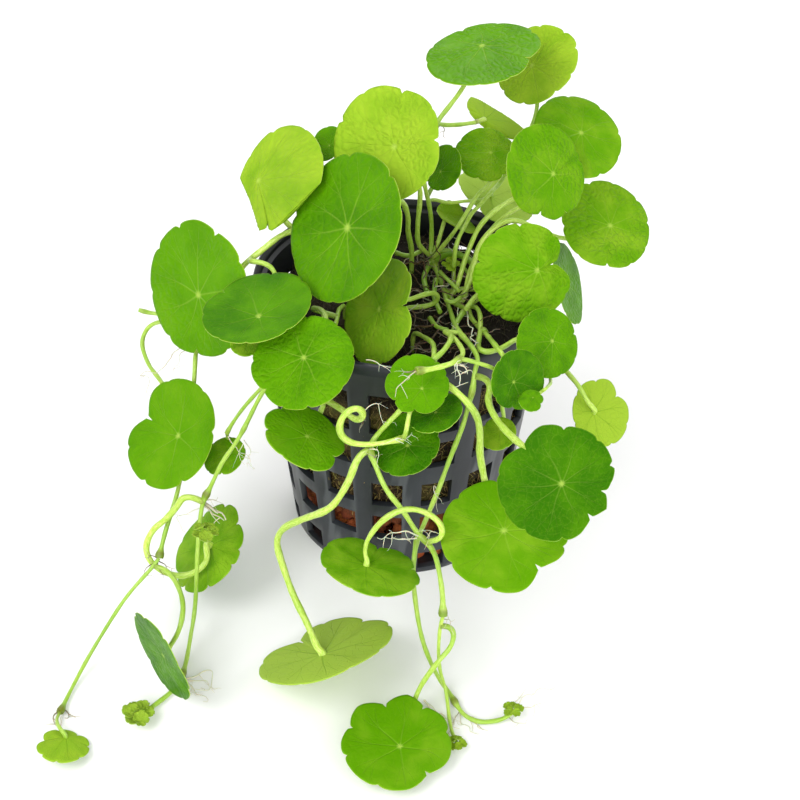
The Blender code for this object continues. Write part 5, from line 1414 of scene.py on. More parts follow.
def bud_leaf(name, centre, facing, radius):
    """A young folded leaf: a small blade that leans its own way."""
    source = seeded(name)
    young = Blade.__new__(Blade)
    young.name = name
    young.centre = np.asarray(centre, dtype=float)
    young.radius = radius
    young.normal = np.asarray(facing, dtype=float) / np.linalg.norm(facing)
    level = np.cross(young.normal, (0.3, 0.9, 0.31))
    young.long_axis = level / np.linalg.norm(level)
    young.short_axis = np.cross(young.normal, young.long_axis)
    young.cup = BUD_CUP
    turn = source.uniform(0, 2 * math.pi)
    aside = math.cos(turn) * young.long_axis + math.sin(turn) * young.short_axis
    young.heart = young.centre - aside * radius * BUD_HEART_SHARE
    young.notches = [(turn + math.pi, BUD_NOTCH)]
    return young


def bud_pieces(name, spot, size, number, tone, skins, settings):
    """The cluster of young leaves at a tip."""
    source = seeded(name)
    px, py, height = spot
    middle = height_point(px, py, height)
    look = {"tone": tone, **BUD_LOOK}
    pieces = []
    for index in range(number):
        turn = 2 * math.pi * (index + source.uniform(-0.2, 0.2)) / number
        out = np.array((math.cos(turn), math.sin(turn), 0.0))
        centre = middle + out * size * 0.5 + np.array((0.0, 0.0, source.uniform(0.0, 0.5)))
        facing = out * source.uniform(-0.2, 0.5) + np.array((0.0, 0.0, 1.0))
        young = bud_leaf(f"{name}_{index}", centre, facing, size * source.uniform(*BUD_RADIUS_SHARES))
        mesh = blade_mesh(young, look, skins, BUD_BLADE_THICKNESS, settings.scallop * BUD_SCALLOP,
                          (BUD_BLADE_RINGS, BUD_BLADE_SPOKES))
        pieces.append(add_object(young.name, mesh))
    return pieces


# Roots that show one by one, by piece: their spots, radius in millimetres and age (1 is brown)
ROOTS = {
    "roots_left_shoulder": ((((195, 351, 5.4), (178, 348, 5), (161, 371, 5.4), (141, 371, 5),
        (147, 384, 5.6), (153, 397, 6.4)), 0.11, 0.3), (((195, 353, 5.4), (184, 350, 5.4), (177, 362, 6),
        (175, 375, 6.6)), 0.08, 0.4)),
    "roots_left_joint": ((((204, 503, 25), (212, 508, 25.5), (220, 513, 26), (226, 520, 26.5)), 0.3, 0.35),
        (((203, 505, 25), (210, 511, 25.5), (218, 517, 26), (223, 519, 26.5)), 0.22, 0.25), (((202, 508, 25),
        (192, 510, 25.5), (181, 516, 26), (178, 526, 26.5), (184, 531, 27)), 0.09, 0.1), (((206, 500, 25),
        (215, 499, 25), (224, 503, 25.5)), 0.1, 0.4)),
    "roots_far_joint": ((((158, 560, 30.8), (150, 566, 31.3), (145, 574, 31.8)), 0.1, 1.0),
        (((158, 561, 30.8), (166, 566, 30.8), (172, 575, 30.8)), 0.1, 0.9), (((158, 562, 30.8),
        (160, 572, 31.3), (165, 580, 31.8)), 0.08, 0.9), (((157, 558, 30.8), (150, 555, 30.8),
        (144, 557, 30.8)), 0.08, 1.0)),
    "roots_floor_left": ((((186, 679), (196, 675), (207, 671), (213, 677), (208, 686), (198, 686)),
        0.14, 0.0), (((187, 682), (195, 691), (206, 697), (203, 703)), 0.1, 0.1), (((186, 681), (199, 680),
        (211, 684), (217, 692)), 0.09, 0.0), (((183, 684), (186, 692), (194, 698)), 0.08, 0.2)),
    "roots_far_tip": ((((60, 711), (54, 715), (53, 723), (60, 727), (66, 722)), 0.16, 0.6), (((61, 709),
        (68, 712), (66, 719)), 0.14, 0.8)),
    "roots_behind_left": ((((244, 440, 24), (249, 450, 24), (253, 459, 24), (255, 469, 24.5)), 0.1, 0.2),
        (((243, 444, 24), (240, 455, 24), (244, 463, 24)), 0.08, 0.1)),
    "roots_front_joint": ((((418, 536, 39.5), (406, 531, 40), (392, 534, 40.5), (376, 539, 41)), 0.14, 0.05),
        (((417, 538, 39.5), (406, 540, 40), (396, 538, 40.5), (386, 531, 41)), 0.12, 0.1),
        (((424, 540, 39.5), (432, 534, 40), (441, 536, 40.5)), 0.12, 0.1), (((370, 449, 33.4),
        (376, 447, 34), (381, 449, 34), (377, 453, 34)), 0.12, 0.0), (((369, 448, 33.2), (366, 452, 33.6),
        (371, 456, 33.8), (377, 453, 34)), 0.14, 1.0)),
    "roots_low_joint": ((((442, 618, 45.5), (450, 622, 46), (456, 631, 47)), 0.1, 0.5),),
    "roots_floor_front": ((((462, 711), (470, 720), (480, 727), (490, 732)), 0.13, 0.3), (((460, 713),
        (462, 724), (470, 732), (480, 733)), 0.1, 0.2), (((459, 712), (453, 722), (449, 733)), 0.09, 0.5),
        (((424, 700), (432, 709.7), (447, 718.5), (451, 728.7)), 0.2, 0.0)),
    "roots_right_tip": ((((513, 710), (522, 700), (533, 692), (545, 689), (556, 687)), 0.08, 0.0),
        (((512, 714), (524, 708), (536, 706), (546, 701)), 0.08, 0.1), (((508, 716), (516, 724), (528, 722)),
        0.09, 0.3), (((514, 708), (516, 698), (523, 690)), 0.07, 0.1)),
    "roots_hanging_tip": ((((416, 371, 32), (410, 376, 32.6), (405, 380, 33), (399, 385, 33.4),
        (394, 397, 34)), 0.12, 0.35), (((415, 370, 32), (406, 374, 32.4), (398, 378, 32.6)), 0.1, 0.8)),
    "roots_rim_front": ((((366, 360, 23.2), (376, 361, 23.6), (385, 367, 25.1), (393, 369, 25.7)),
        0.12, 0.0), (((364, 412, 31.4), (375, 402, 31), (386, 420, 31), (391, 430, 31.6)), 0.08, 0.0)),
    "roots_front_tip": ((((457, 362, 29.4), (458.4, 378, 30.2), (461, 384, 30.4), (468, 383, 30)),
        0.12, 0.0), (((457, 362, 29.4), (452, 365, 30.4), (457, 369, 30.8), (462, 364, 30.2)), 0.1, 0.1),
        (((460, 365, 29.4), (464, 369, 29.2), (467, 372.8, 28.8)), 0.16, 0.1)),
    "roots_curl_tip": ((((403, 440, 33), (397, 437, 33.6), (392, 440, 34), (397, 444, 34), (404, 443, 33.6)),
        0.12, 0.0), (((404, 440, 33), (409, 436, 33), (412, 433, 33)), 0.1, 0.1)),
    "roots_right_side": ((((436, 488, 34), (433, 484, 34.2), (435, 495, 34.8), (440, 508, 35.4)),
        0.09, 0.3),),
    "roots_left_short": ((((228, 436, 18.6), (235, 447, 19.6), (246, 458, 20.4), (255, 468, 21)), 0.1, 0.1),),
    "roots_curl_end": ((((362, 419, 30), (366, 424, 30), (364, 431, 30.5)), 0.12, 0.9),),
    "roots_high": ((((441, 124, -15), (436, 129, -15), (434, 136, -15)), 0.11, 0.8), (((443, 127, -15),
        (447, 133, -15), (445, 139, -15)), 0.08, 0.6), (((470, 122, -19), (476, 118, -19.5),
        (481, 119, -20)), 0.09, 0.7)),
    "roots_crown_white": ((((467, 311, 3), (468, 319, 6.4), (472, 333, 12.6), (475, 344, 19),
        (477, 354, 24)), 0.12, 0.0), (((458, 308, 1.6), (457, 320, 6.4), (454, 333, 12)), 0.12, 0.0),
        (((437, 300, -4), (428, 309, -3), (430, 320, -2), (424, 331, 0)), 0.1, 0.1)),
}
ROOT_STEP = 0.5
ROOT_CLEARANCE = 0.05
HAIR_CLEARANCE = 0.1
ROOT_WIGGLE = 0.45
ROOT_TIP_SHARE = 0.35
HAIRS_PER_ROOT = 3
HAIR_LENGTHS = (1.0, 2.6)
HAIR_RADIUS_SHARE = 0.5
HAIR_AGE_SHARE = 0.6

# The tangle at the crown, in the picture: where its strands run, and how many there are
CROWN_SPAN_X = (402.0, 482.0)
CROWN_SPAN_Y = (246.0, 352.0)
CROWN_STRANDS = 90
CROWN_LIFT = 0.2
CROWN_DEPTH = 5.0
CROWN_REACHES = (1.5, 4.5)
CROWN_RADII = (0.06, 0.19)
CROWN_AGES = (0.3, 0.9, 1.0, 1.0, 1.0)
CROWN_WIGGLE = 1.6


def wiggled(path, amount, source):
    """A fine path that strays smoothly from the given one, more towards its tip."""
    fine, along = refined(path, ROOT_STEP)
    share = along / along[-1]
    stray = np.zeros_like(fine)
    for axis in range(3):
        for _ in range(3):
            pitch = source.uniform(0.8, 2.6)
            stray[:, axis] += np.sin(along * pitch + source.uniform(0, 2 * math.pi)) / pitch
    fine = fine + stray * (amount * share)[:, None]
    return fine, share


def root_numbers(share, radius, age):
    """Thickness and colouring of a root from its joint to its tip."""
    thickness = radius * (1.0 - (1.0 - ROOT_TIP_SHARE) * share) * MILLIMETRE
    return {"thickness": thickness, "age": np.clip(age * (1.25 - 0.6 * share), 0, 1)}


def kept_above(path, lowest):
    """The path lifted where it would sink under a level."""
    lifted = path.copy()
    lifted[:, 2] = np.maximum(lifted[:, 2], lowest)
    return lifted


def root_strands(name, settings):
    """All strands of one root piece, side hairs included."""
    source = seeded(name)
    strands = []
    for spots, radius, age in ROOTS[name]:
        path = smooth_path([place(spot, radius) for spot in spots], ROOT_STEP)
        fine, share = wiggled(path, ROOT_WIGGLE * settings.wiggle, source)
        strands.append((kept_above(fine, radius + ROOT_CLEARANCE), root_numbers(share, radius, age)))
        for _ in range(HAIRS_PER_ROOT):
            start = fine[source.randrange(len(fine) // 4, len(fine) - 1)]
            reach = source.uniform(*HAIR_LENGTHS)
            away = np.array([source.gauss(0, 1), source.gauss(0, 1), source.gauss(-0.4, 0.5)])
            away /= np.linalg.norm(away)
            hair = np.linspace(start, start + away * reach, 4)
            bent, span = wiggled(hair, ROOT_WIGGLE * settings.wiggle, source)
            numbers = root_numbers(span, radius * HAIR_RADIUS_SHARE, age * HAIR_AGE_SHARE)
            strands.append((kept_above(bent, HAIR_CLEARANCE), numbers))
    return strands


def crown_strands(settings):
    """The tangle of old roots between the leaf stalks, down on the plug."""
    source = seeded("crown tangle")
    strands = []
    for _ in range(CROWN_STRANDS):
        px = source.uniform(*CROWN_SPAN_X)
        py = source.uniform(*CROWN_SPAN_Y)
        middle = height_point(px, py, PLUG_TOP + source.uniform(0.0, CROWN_DEPTH))
        turn = source.uniform(0, 2 * math.pi)
        reach = source.uniform(*CROWN_REACHES)
        out = np.array((math.cos(turn), math.sin(turn), source.uniform(-0.7, 0.4))) * reach
        path = np.linspace(middle - out, middle + out, 6)
        fine, share = wiggled(path, CROWN_WIGGLE * ROOT_WIGGLE * settings.wiggle, source)
        radius = source.uniform(*CROWN_RADII)
        age = source.choice(CROWN_AGES)
        lowest = plug_height(fine[:, 0], fine[:, 1]) + CROWN_LIFT
        strands.append((kept_above(fine, lowest), root_numbers(share, radius, age)))
    return strands


# Fine shape of the pot: the lip's height over its foot and its radius, the foot's rings, the rounding
LIP_STEPS = ((0.35, 24.98), (1.9, 25.0), (2.35, 24.9), (2.6, 24.6))
FOOT_RING_SHARES = (0.82, 0.45, 0.0)
EDGE_ROUNDING = 0.16
EDGE_ROUNDING_ANGLE = math.radians(35.0)

# What fills the pot
PLUG_RINGS = 46
PLUG_SPOKES = 132
PLUG_FLOOR_SHARE, PLUG_SIDE_SHARE, PLUG_DOME_SHARE = 0.2, 0.42, 0.38
PLUG_LUMPS = 0.5
PLUG_SPREAD = 0.9
PLUG_REAR_RISE = 1.4
PEBBLE_BED_INSET = 1.9


def wall_radius(height):
    """Outer radius of the wall under the lip."""
    top = POT_TOP_RADIUS - LIP_STEP
    return POT_FOOT_RADIUS + (top - POT_FOOT_RADIUS) * height / LIP_START


def released(name, shape):
    """An edited shape as a mesh of its own."""
    mesh = bpy.data.meshes.new(name)
    shape.to_mesh(mesh)
    shape.free()
    return mesh


def panel_mesh():
    """One column of the lattice, from the middle of the foot to the lip, with its openings cut."""
    heights = [0.0]
    for bottom, top in OPENING_ROWS:
        heights += [bottom, top]
    rings = [(share * POT_FOOT_RADIUS, 0.0) for share in reversed(FOOT_RING_SHARES)]
    first_wall = len(rings)
    rings += [(wall_radius(height), height) for height in heights + [LIP_START]]
    rings += [(radius, LIP_START + rise) for rise, radius in LIP_STEPS]
    pitch = 360.0 / POT_COLUMNS
    rib = pitch - OPENING_ANGLE
    angles = [-OPENING_ANGLE / 2 + OPENING_ANGLE * step / OPENING_STEPS for step in range(OPENING_STEPS)]
    angles += [OPENING_ANGLE / 2 + rib * step / RIB_STEPS for step in range(RIB_STEPS + 1)]
    shape = bmesh.new()
    grid = []
    turns = [math.radians(FIRST_COLUMN_ANGLE - 90.0 + angle) for angle in angles]
    for radius, height in rings:
        points = [(radius * math.cos(turn), radius * math.sin(turn), height) for turn in turns]
        grid.append([shape.verts.new([value * MILLIMETRE for value in point]) for point in points])
    for row in range(len(rings) - 1):
        wall_row = row - first_wall
        is_opening_row = 0 <= wall_row < 2 * len(OPENING_ROWS) and wall_row % 2 == 1
        for column in range(len(angles) - 1):
            if is_opening_row and column < OPENING_STEPS:
                continue
            shape.faces.new((grid[row][column], grid[row][column + 1],
                             grid[row + 1][column + 1], grid[row + 1][column]))
    bmesh.ops.remove_doubles(shape, verts=shape.verts, dist=0.000001)
    return released("lattice_column", shape)


def ring_tree():
    """Repeats a column evenly round the upright axis and welds the seams."""
    tree = Tree("columns_round_a_pot", Columns=POT_COLUMNS, Weld=0.000004)
    turn = tree.out("InputIndex") / tree["Columns"] * (2 * math.pi)
    placed = tree.out("InstanceOnPoints", {
        "Points": tree.out("Points", {"Count": tree["Columns"]}), "Instance": tree["Geometry"],
        "Rotation": tree.out("ShaderNodeCombineXYZ", {2: turn})})
    tree.finish(tree.out("MergeByDistance", {"Geometry": tree.real(placed), "Distance": tree["Weld"]}))
    return tree


def lattice_pot(settings, material):
    """The whole pot: the column repeated, given its wall, with its edges rounded."""
    piece = add_object("lattice_pot", panel_mesh())
    ring_tree().use(piece, Columns=POT_COLUMNS, Material=material)
    wall = piece.modifiers.new("wall", "SOLIDIFY")
    wall.thickness = settings.wall
    wall.offset = -1.0
    wall.use_even_offset = True
    rounding = piece.modifiers.new("rounding", "BEVEL")
    rounding.width = EDGE_ROUNDING * MILLIMETRE
    rounding.segments = 2
    rounding.limit_method = "ANGLE"
    rounding.angle_limit = EDGE_ROUNDING_ANGLE
    applied(piece)
    piece.data.shade_smooth()
    piece.data.set_sharp_from_angle(angle=EDGE_ROUNDING_ANGLE)
    return piece


def turned_block(name, bottom, top, bottom_radius, top_radius, lean, lumps):
    """A closed lumpy block: side rings and a domed top, as one grid with closed poles."""
    source = seeded(name)
    spokes = PLUG_SPOKES
    rings = PLUG_RINGS
    turns = np.arange(spokes) * 2 * math.pi / spokes
    profile = []
    for index in range(rings + 1):
        share = index / rings
        if share < PLUG_FLOOR_SHARE:
            profile.append((bottom_radius * share / PLUG_FLOOR_SHARE, bottom))
        elif share < 1.0 - PLUG_DOME_SHARE:
            climb = (share - PLUG_FLOOR_SHARE) / PLUG_SIDE_SHARE
            radius = bottom_radius + (top_radius - bottom_radius) * climb
            profile.append((radius, bottom + (top - bottom) * climb))
        else:
            inward = (share - (PLUG_FLOOR_SHARE + PLUG_SIDE_SHARE)) / PLUG_DOME_SHARE
            profile.append((top_radius * (1.0 - inward), top + PLUG_SWELL * 0.6 * inward))
    points = []
    for radius, height in profile[1:-1]:
        climb = (height - bottom) / (top - bottom)
        x = radius * np.cos(turns)
        y = radius * np.sin(turns)
        z = height + PLUG_REAR_RISE * PLUG_TILT * y * climb
        points.append(np.stack((x + lean * climb, y, z), axis=1))
    points = np.array(points)
    rise = ripple(points[:, :, 0] + points[:, :, 2], points[:, :, 1] - points[:, :, 2], source, 9, 1.1)
    rise += 0.6 * ripple(points[:, :, 0] - points[:, :, 2], points[:, :, 1], source, 9, 2.7)
    outward = points - np.array((lean * 0.5, 0.0, (bottom + top) / 2))
    outward /= np.linalg.norm(outward, axis=2)[:, :, None]
    points = points + outward * (lumps * (rise - 0.6))[:, :, None]
    low = np.array((0.0, 0.0, bottom + 0.4))
    high = np.array((lean, 0.0, top + PLUG_SWELL * 0.5))
    vertices = np.vstack((low, points.reshape(-1, 3), high)) * MILLIMETRE
    last = len(vertices) - 1
    inner = rings - 2
    faces = []
    for index in range(spokes):
        following = (index + 1) % spokes
        faces.append((0, 1 + following, 1 + index))
        for start in range(1, 1 + inner * spokes, spokes):
            above = start + spokes
            faces.append((start + index, start + following, above + following, above + index))
        end = 1 + inner * spokes
        faces.append((end + index, end + following, last))
    return smooth_mesh(name, vertices, faces)


def strand_tree():
    """Loose mineral fibres over a surface, each bent, turned and tinted its own way."""
    tree = Tree("mineral_fibres", Density=2000000.0, Length=0.003, Thickness=0.00006, Seed=4, Skin=None)
    spread = tree.out("DistributePointsOnFaces", {"Mesh": tree["Geometry"], "Density": tree["Density"],
                                                  "Seed": tree["Seed"]}, "Points")
    arc = tree.out("CurveQuadraticBezier", {"Resolution": 5, "Start": (-0.5, 0.0, 0.0),
                                            "Middle": (0.0, 0.35, 0.1), "End": (0.5, 0.0, 0.0)})
    real = tree.scattered(spread, arc, (7, 11), tree.random(0.4, 1.2, 9) * tree["Length"])
    section = tree.out("CurvePrimitiveCircle", {"Resolution": 3, "Radius": 1.0})
    ground = tree.out("SetMaterial", {"Geometry": tree["Geometry"], "Material": tree["Skin"]})
    tree.finish(tree.tube(real, section, tree["Thickness"]), ground)
    return tree


def pebble_tree():
    """Rounded clay pebbles packed over a surface."""
    tree = Tree("clay_pebbles", Spacing=0.0021, Size=0.0016, Seed=3)
    spread = tree.out("DistributePointsOnFaces", {
        "Mesh": tree["Geometry"], "Distance Min": tree["Spacing"], "Density Max": 900000.0,
        "Seed": tree["Seed"]}, "Points", distribute_method="POISSON")
    stone = tree.out("MeshIcoSphere", {"Radius": 1.0, "Subdivisions": 3})
    size = tree.vector("SCALE", tree.random((0.75, 0.65, 0.6), (1.25, 1.1, 0.95), 6, True), tree["Size"])
    real = tree.scattered(spread, stone, (5, 8), size)
    dents = tree.out("ShaderNodeTexNoise", {"Scale": 420.0, "Detail": 2.0})
    offset = tree.vector("SCALE", tree.out("InputNormal"), (dents + -0.5) * 0.0011)
    dented = tree.out("SetPosition", {"Geometry": real, "Offset": offset})
    tree.finish(tree.out("SetShadeSmooth", {"Geometry": dented}))
    return tree


def pebble_bed_mesh():
    """The surface that the pebbles are packed on: the bed's side and top."""
    shape = bmesh.new()
    bmesh.ops.create_cone(shape, cap_ends=True, segments=64, radius1=BALLAST_RADIUS - PEBBLE_BED_INSET,
                          radius2=BALLAST_RADIUS - PEBBLE_BED_INSET, depth=BALLAST_TOP - 2 * PEBBLE_BED_INSET)
    for vertex in shape.verts:
        vertex.co.z += BALLAST_TOP / 2 + 0.4
        vertex.co *= MILLIMETRE
    return released("pebble_bed", shape)


# Buds: runner, place in the picture and height, size in millimetres, leaves in it, tone
BUDS = (
    ("runner_left", (139, 715, 1.4), 2.7, 6, 1.15),
    ("runner_right", (513, 711, 1.4), 1.7, 5, 1.1),
    ("runner_front_low", (457, 744, 1.2), 1.6, 5, 1.0),
    ("runner_left", (205, 534, 20.2), 2.5, 5, 1.15),
    ("runner_crown_back", (450, 266, 47.5), 1.7, 4, 1.0),
)
PALE_LEAVES = ("leaf_top_right", "leaf_upper_centre", "leaf_upper_left", "leaf_front_centre",
               "leaf_pale_back", "leaf_pale_right", "leaf_folded_top", "leaf_rear_curled",
               "leaf_far_left_tip")

# Soft lights round the plant: name, place and size in metres, share of the set power
LIGHTS = (
    ("key_light", (-0.35, -0.30, 0.55), 0.40, 0.8),
    ("fill_light", (0.45, -0.35, 0.30), 0.45, 0.45),
    ("front_light", (-0.05, -0.50, 0.30), 0.40, 0.45),
    ("back_light", (0.10, 0.50, 0.45), 0.40, 0.4),
)
LIGHT_TARGET = (0.0, 0.0, 0.03)
FLOOR_SIZE = 6.0
CAMERA_CLIP = (0.01, 20.0)


def setting(value, about, low=0.0, high=1.0, **more):
    """A number or a colour that a user can change."""
    if isinstance(value, tuple):
        kind = FloatVectorProperty
        more = {"subtype": "COLOR", "size": 3}
    else:
        kind = IntProperty if isinstance(value, int) else FloatProperty
    return kind(description=about, default=value, min=low, max=high, **more)


class PennywortStageSettings(PropertyGroup):
    """Floor and light round the plant."""

    floor_colour: setting((0.86, 0.86, 0.86), "The plain pale floor")
    light_power: setting(3.2, "Power of the key light", 0.0, 200.0, unit="POWER")
    sky_strength: setting(0.78, "Strength of the even light from all round", 0.0, 4.0)


class PennywortPotSettings(PropertyGroup):
    """Wall and colours of the pot."""

    wall: setting(POT_WALL * MILLIMETRE, "Thickness of the moulded wall", 0.0005, 0.002, unit="LENGTH")
    pot_dark: setting((0.011, 0.013, 0.016), "Body of the plastic")
    pot_grey: setting((0.026, 0.030, 0.037), "Paler cloudy patches")
    pot_worn: setting((0.12, 0.13, 0.14), "Edges that have been rubbed")
    # Painted shade on the inner face of the wall.
    pot_inside_shade: setting((0.006, 0.007, 0.008), "The damp inner face")


class PennywortFillingSettings(PropertyGroup):
    """Fineness and colours of the rockwool and the clay."""

    fibre_density: setting(1500000.0, "Loose fibres on each square metre", 0.0, 4000000.0)
    fibre_length: setting(0.003, "Length of a loose fibre", 0.0005, 0.01, unit="LENGTH")
    pebble_size: setting(0.0017, "Radius of a clay pebble", 0.0005, 0.003, unit="LENGTH")
    # Dark strands of the rockwool, and the painted shade on the plug's right side and top.
    wool_dark_and_shade: setting((0.008, 0.0055, 0.003), "Wet hollows of the rockwool")
    wool_brown: setting((0.10, 0.058, 0.020), "Most of the rockwool")
    wool_ochre: setting((0.32, 0.22, 0.065), "Dry fibres")
    wool_olive: setting((0.19, 0.18, 0.03), "Fibres with a film of algae")
    clay_red: setting((0.36, 0.060, 0.012), "Deeper fired pebbles")
    clay_orange: setting((0.60, 0.17, 0.03), "Paler pebbles")
    # Also painted shade on the top pebbles, under the plug.
    clay_dark_and_shade: setting((0.12, 0.035, 0.012), "Soot and damp on the pebbles")


class PennywortLeafSettings(PropertyGroup):
    """Sizes and colours of the leaf blades."""

    thickness: setting(0.00034, "How thick a blade is", 0.0001, 0.0006, unit="LENGTH")
    scallop: setting(0.052, "Depth of the scallops as a share of the radius", 0.0, 0.2)
    # Also painted shade in the hollows of the blistered skin.
    deep_green_and_hollow_shade: setting((0.018, 0.112, 0.0006), "Oldest leaves and the hollows of their skin")
    mid_green: setting((0.082, 0.250, 0.001), "Most of the leaves")
    pale_green: setting((0.265, 0.42, 0.022), "Young leaves")
    under_green: setting((0.20, 0.37, 0.016), "The dull underside")
    # Also the painted light on blades whose tone is over 1.
    vein_and_lit_green: setting((0.40, 0.56, 0.09), "Veins and the heart of a leaf")
    sheen: setting((0.85, 1.0, 0.15), "What the wax reflects")


class PennywortRunnerSettings(PropertyGroup):
    """Shape and colours of stalks and runners."""

    sides: setting(12, "Sides of a stem's section", 5, 32)
    ridge: setting(0.05, "Height of the ridges along a stem, as a share of its radius", 0.0, 0.3)
    stem_green: setting((0.38, 0.58, 0.035), "Most of a stem")
    stem_pale: setting((0.66, 0.80, 0.21), "Streaks along a stem")
    stem_deep: setting((0.17, 0.35, 0.010), "Older stretches and freckles")
    joint_brown: setting((0.12, 0.058, 0.014), "Scars at the joints")


class PennywortRootSettings(PropertyGroup):
    """Shape and colours of the roots."""

    wiggle: setting(1.0, "How far a root strays from its line", 0.0, 4.0)
    sides: setting(5, "Sides of a root's section", 3, 12)
    root_white: setting((0.72, 0.74, 0.62), "Young roots")
    root_cream: setting((0.60, 0.56, 0.34), "Older patches on young roots")
    joint_brown: setting((0.07, 0.04, 0.012), "Old roots")


def dressed(piece, nodes=()):
    """Hangs a finished piece under the root body, and hides the solids that it takes the place of."""
    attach(piece, "root")
    if nodes:
        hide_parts(*nodes)


class PENNYWORT_OT_stage(Operator):
    """Set the floor, the soft lights and the camera"""

    bl_idname = "pennywort.stage"
    bl_label = "Set the Stage"

    def execute(self, context):
        settings = context.scene.pennywort_stage
        mesh = bpy.data.meshes.new("floor")
        half = FLOOR_SIZE / 2
        corners = [(-half, -half, 0), (half, -half, 0), (half, half, 0), (-half, half, 0)]
        mesh.from_pydata(corners, [], [range(4)])
        floor = add_object("floor", mesh)
        mesh.materials.append(floor_material(settings))
        for name, spot, size, share in LIGHTS:
            lamp = bpy.data.lights.new(name, "AREA")
            lamp.shape = "DISK"
            lamp.size = size
            lamp.energy = settings.light_power * share
            light = bpy.data.objects.new(name, lamp)
            context.scene.collection.objects.link(light)
            light.location = spot
            towards = Vector(LIGHT_TARGET) - Vector(spot)
            light.rotation_euler = towards.to_track_quat("-Z", "Y").to_euler()
        world = bpy.data.worlds.new("even_sky")
        world.use_nodes = True
        background = world.node_tree.nodes["Background"]
        background.inputs["Color"].default_value = (1.0, 1.0, 1.0, 1.0)
        background.inputs["Strength"].default_value = settings.sky_strength
        context.scene.world = world
        context.scene.view_settings.view_transform = "Standard"
        lens = bpy.data.cameras.new("view")
        lens.sensor_width = SENSOR_WIDTH
        lens.lens = VIEW_FOCAL / PICTURE_WIDTH * SENSOR_WIDTH
        lens.clip_start, lens.clip_end = CAMERA_CLIP
        camera = bpy.data.objects.new("view", lens)
        context.scene.collection.objects.link(camera)
        turn = np.column_stack((RIGHT, UP, BACK))
        camera.matrix_world = Matrix.Translation(EYE * MILLIMETRE) @ Matrix(turn.tolist()).to_4x4()
        context.scene.camera = camera
        return {"FINISHED"}


class PENNYWORT_OT_pot(Operator):
    """Mould the lattice pot"""

    bl_idname = "pennywort.pot"
    bl_label = "Mould the Pot"

    def execute(self, context):
        settings = context.scene.pennywort_pot
        piece = lattice_pot(settings, pot_material(settings))
        dressed(piece, ("net_pot",))
        return {"FINISHED"}


class PENNYWORT_OT_filling(Operator):
    """Fill the pot with clay pebbles and a rockwool plug"""

    bl_idname = "pennywort.filling"
    bl_label = "Fill the Pot"

    def execute(self, context):
        settings = context.scene.pennywort_filling
        bed = add_object("clay_pebbles", pebble_bed_mesh())
        pebble_tree().use(bed, Size=settings.pebble_size, Material=clay_material(settings))
        dressed(bed, ("clay_ballast",))
        mesh = turned_block("rockwool", PLUG_BOTTOM, PLUG_TOP, PLUG_BOTTOM_RADIUS,
                            PLUG_TOP_RADIUS + PLUG_SPREAD, PLUG_LEAN, PLUG_LUMPS)
        plug = add_object("rockwool", mesh)
        strand_tree().use(plug, Density=settings.fibre_density, Length=settings.fibre_length,
                          Skin=rockwool_material(settings), Material=strand_material(settings))
        dressed(plug, ("rockwool_plug",))
        return {"FINISHED"}


class PENNYWORT_OT_leaves(Operator):
    """Grow every leaf on its stalk"""

    bl_idname = "pennywort.leaves"
    bl_label = "Grow the Leaves"

    def execute(self, context):
        leaf = context.scene.pennywort_leaves
        stem = context.scene.pennywort_runners
        blades, stems = laid_out()
        skins = skin_materials()
        flesh = stem_material(stem)
        tree = stem_tree()
        for name, blade in blades.items():
            small = blade.radius < SMALL_LEAF_RADIUS
            fineness = (SMALL_BLADE_RINGS, SMALL_BLADE_SPOKES) if small else (BLADE_RINGS, BLADE_SPOKES)
            mesh = blade_mesh(blade, look_of(name), skins, leaf.thickness / MILLIMETRE,
                              leaf.scallop * look_of(name)["scallop"], fineness)
            grown = add_object(name + "_blade", mesh)
            stalk = stem_piece(stems[name], tree, stem, flesh)
            whole = joined([grown, stalk], name + "_blade")
            slot = "leaf_pale_green" if name in PALE_LEAVES else "leaf_green"
            dressed(whole, (name,))
        return {"FINISHED"}


class PENNYWORT_OT_runners(Operator):
    """Grow the runners and the buds at their tips"""

    bl_idname = "pennywort.runners"
    bl_label = "Grow the Runners"

    def execute(self, context):
        leaf = context.scene.pennywort_leaves
        stem = context.scene.pennywort_runners
        stems = laid_out()[1]
        skins = skin_materials()
        flesh = stem_material(stem)
        tree = stem_tree()
        for runner in RUNNERS:
            name = runner["name"]
            pieces = [stem_piece(stems[name], tree, stem, flesh)]
            for index, (owner, *bud) in enumerate(BUDS):
                if owner == name:
                    pieces += bud_pieces(f"{name}_bud_{index}", *bud, skins, leaf)
            dressed(joined(pieces, name + "_stem"), (name,))
        return {"FINISHED"}


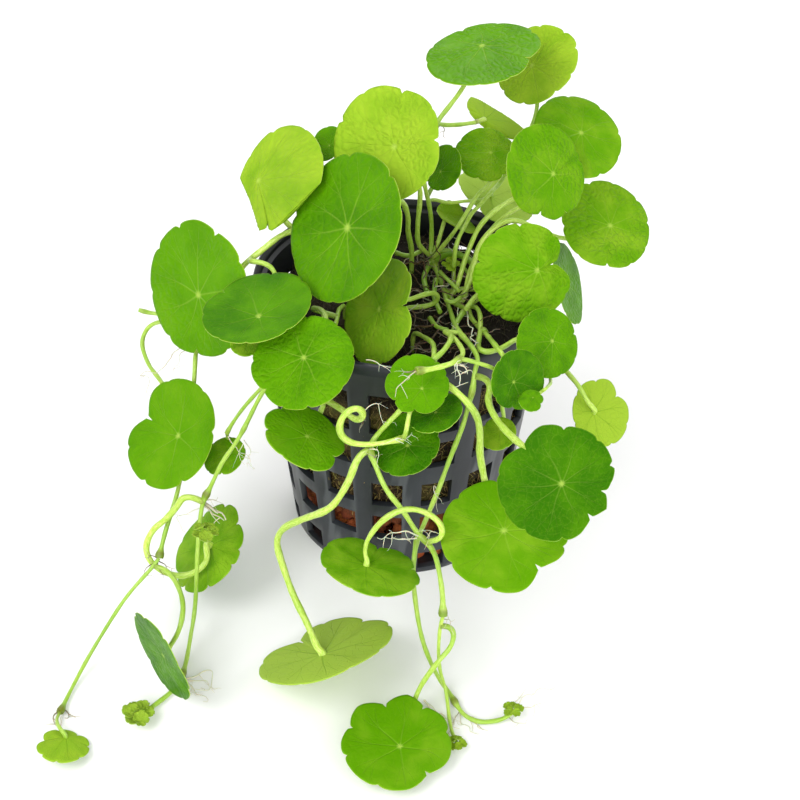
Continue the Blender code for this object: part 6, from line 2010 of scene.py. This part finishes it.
class PENNYWORT_OT_roots(Operator):
    """Grow the fine roots at the joints and in the crown"""

    bl_idname = "pennywort.roots"
    bl_label = "Grow the Roots"

    def execute(self, context):
        settings = context.scene.pennywort_roots
        hair = root_material(settings)
        tree = stem_tree()
        strands = {name: root_strands(name, settings) for name in ROOTS}
        strands["roots_crown"] = crown_strands(settings)
        for name, lines in strands.items():
            piece = add_object(name, line_mesh(name, lines))
            tree.use(piece, Sides=settings.sides, Ridge=0.0, Material=hair)
            dressed(piece)
        return {"FINISHED"}


class PENNYWORT_PT_panel(Panel):
    """Everything that makes the plant, in order"""

    bl_label = "Pennywort"
    bl_idname = "PENNYWORT_PT_panel"
    bl_space_type = "VIEW_3D"
    bl_region_type = "UI"
    bl_category = "Pennywort"

    def draw(self, context):
        for name in STEPS:
            group = getattr(context.scene, "pennywort_" + name)
            box = self.layout.box()
            box.operator("pennywort." + name)
            for key in group.__annotations__:
                box.prop(group, key, text=key.replace("_", " ").capitalize())


# Each step's settings and operator, in order
STEPS = {
    "stage": (PennywortStageSettings, PENNYWORT_OT_stage),
    "pot": (PennywortPotSettings, PENNYWORT_OT_pot),
    "filling": (PennywortFillingSettings, PENNYWORT_OT_filling),
    "leaves": (PennywortLeafSettings, PENNYWORT_OT_leaves),
    "runners": (PennywortRunnerSettings, PENNYWORT_OT_runners),
    "roots": (PennywortRootSettings, PENNYWORT_OT_roots),
}
CLASSES = tuple(kind for pair in STEPS.values() for kind in pair) + (PENNYWORT_PT_panel,)


def register():
    """Adds the classes and the settings."""
    for kind in CLASSES:
        bpy.utils.register_class(kind)
    for name, (settings, _) in STEPS.items():
        setattr(bpy.types.Scene, "pennywort_" + name, PointerProperty(type=settings))


def unregister():
    """Takes the classes and the settings away."""
    for name in STEPS:
        delattr(bpy.types.Scene, "pennywort_" + name)
    for kind in reversed(CLASSES):
        bpy.utils.unregister_class(kind)


def main():
    """Makes everything in order."""
    register()
    for name in STEPS:
        getattr(bpy.ops.pennywort, name)()
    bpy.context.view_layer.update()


if __name__ == "__main__":
    main()
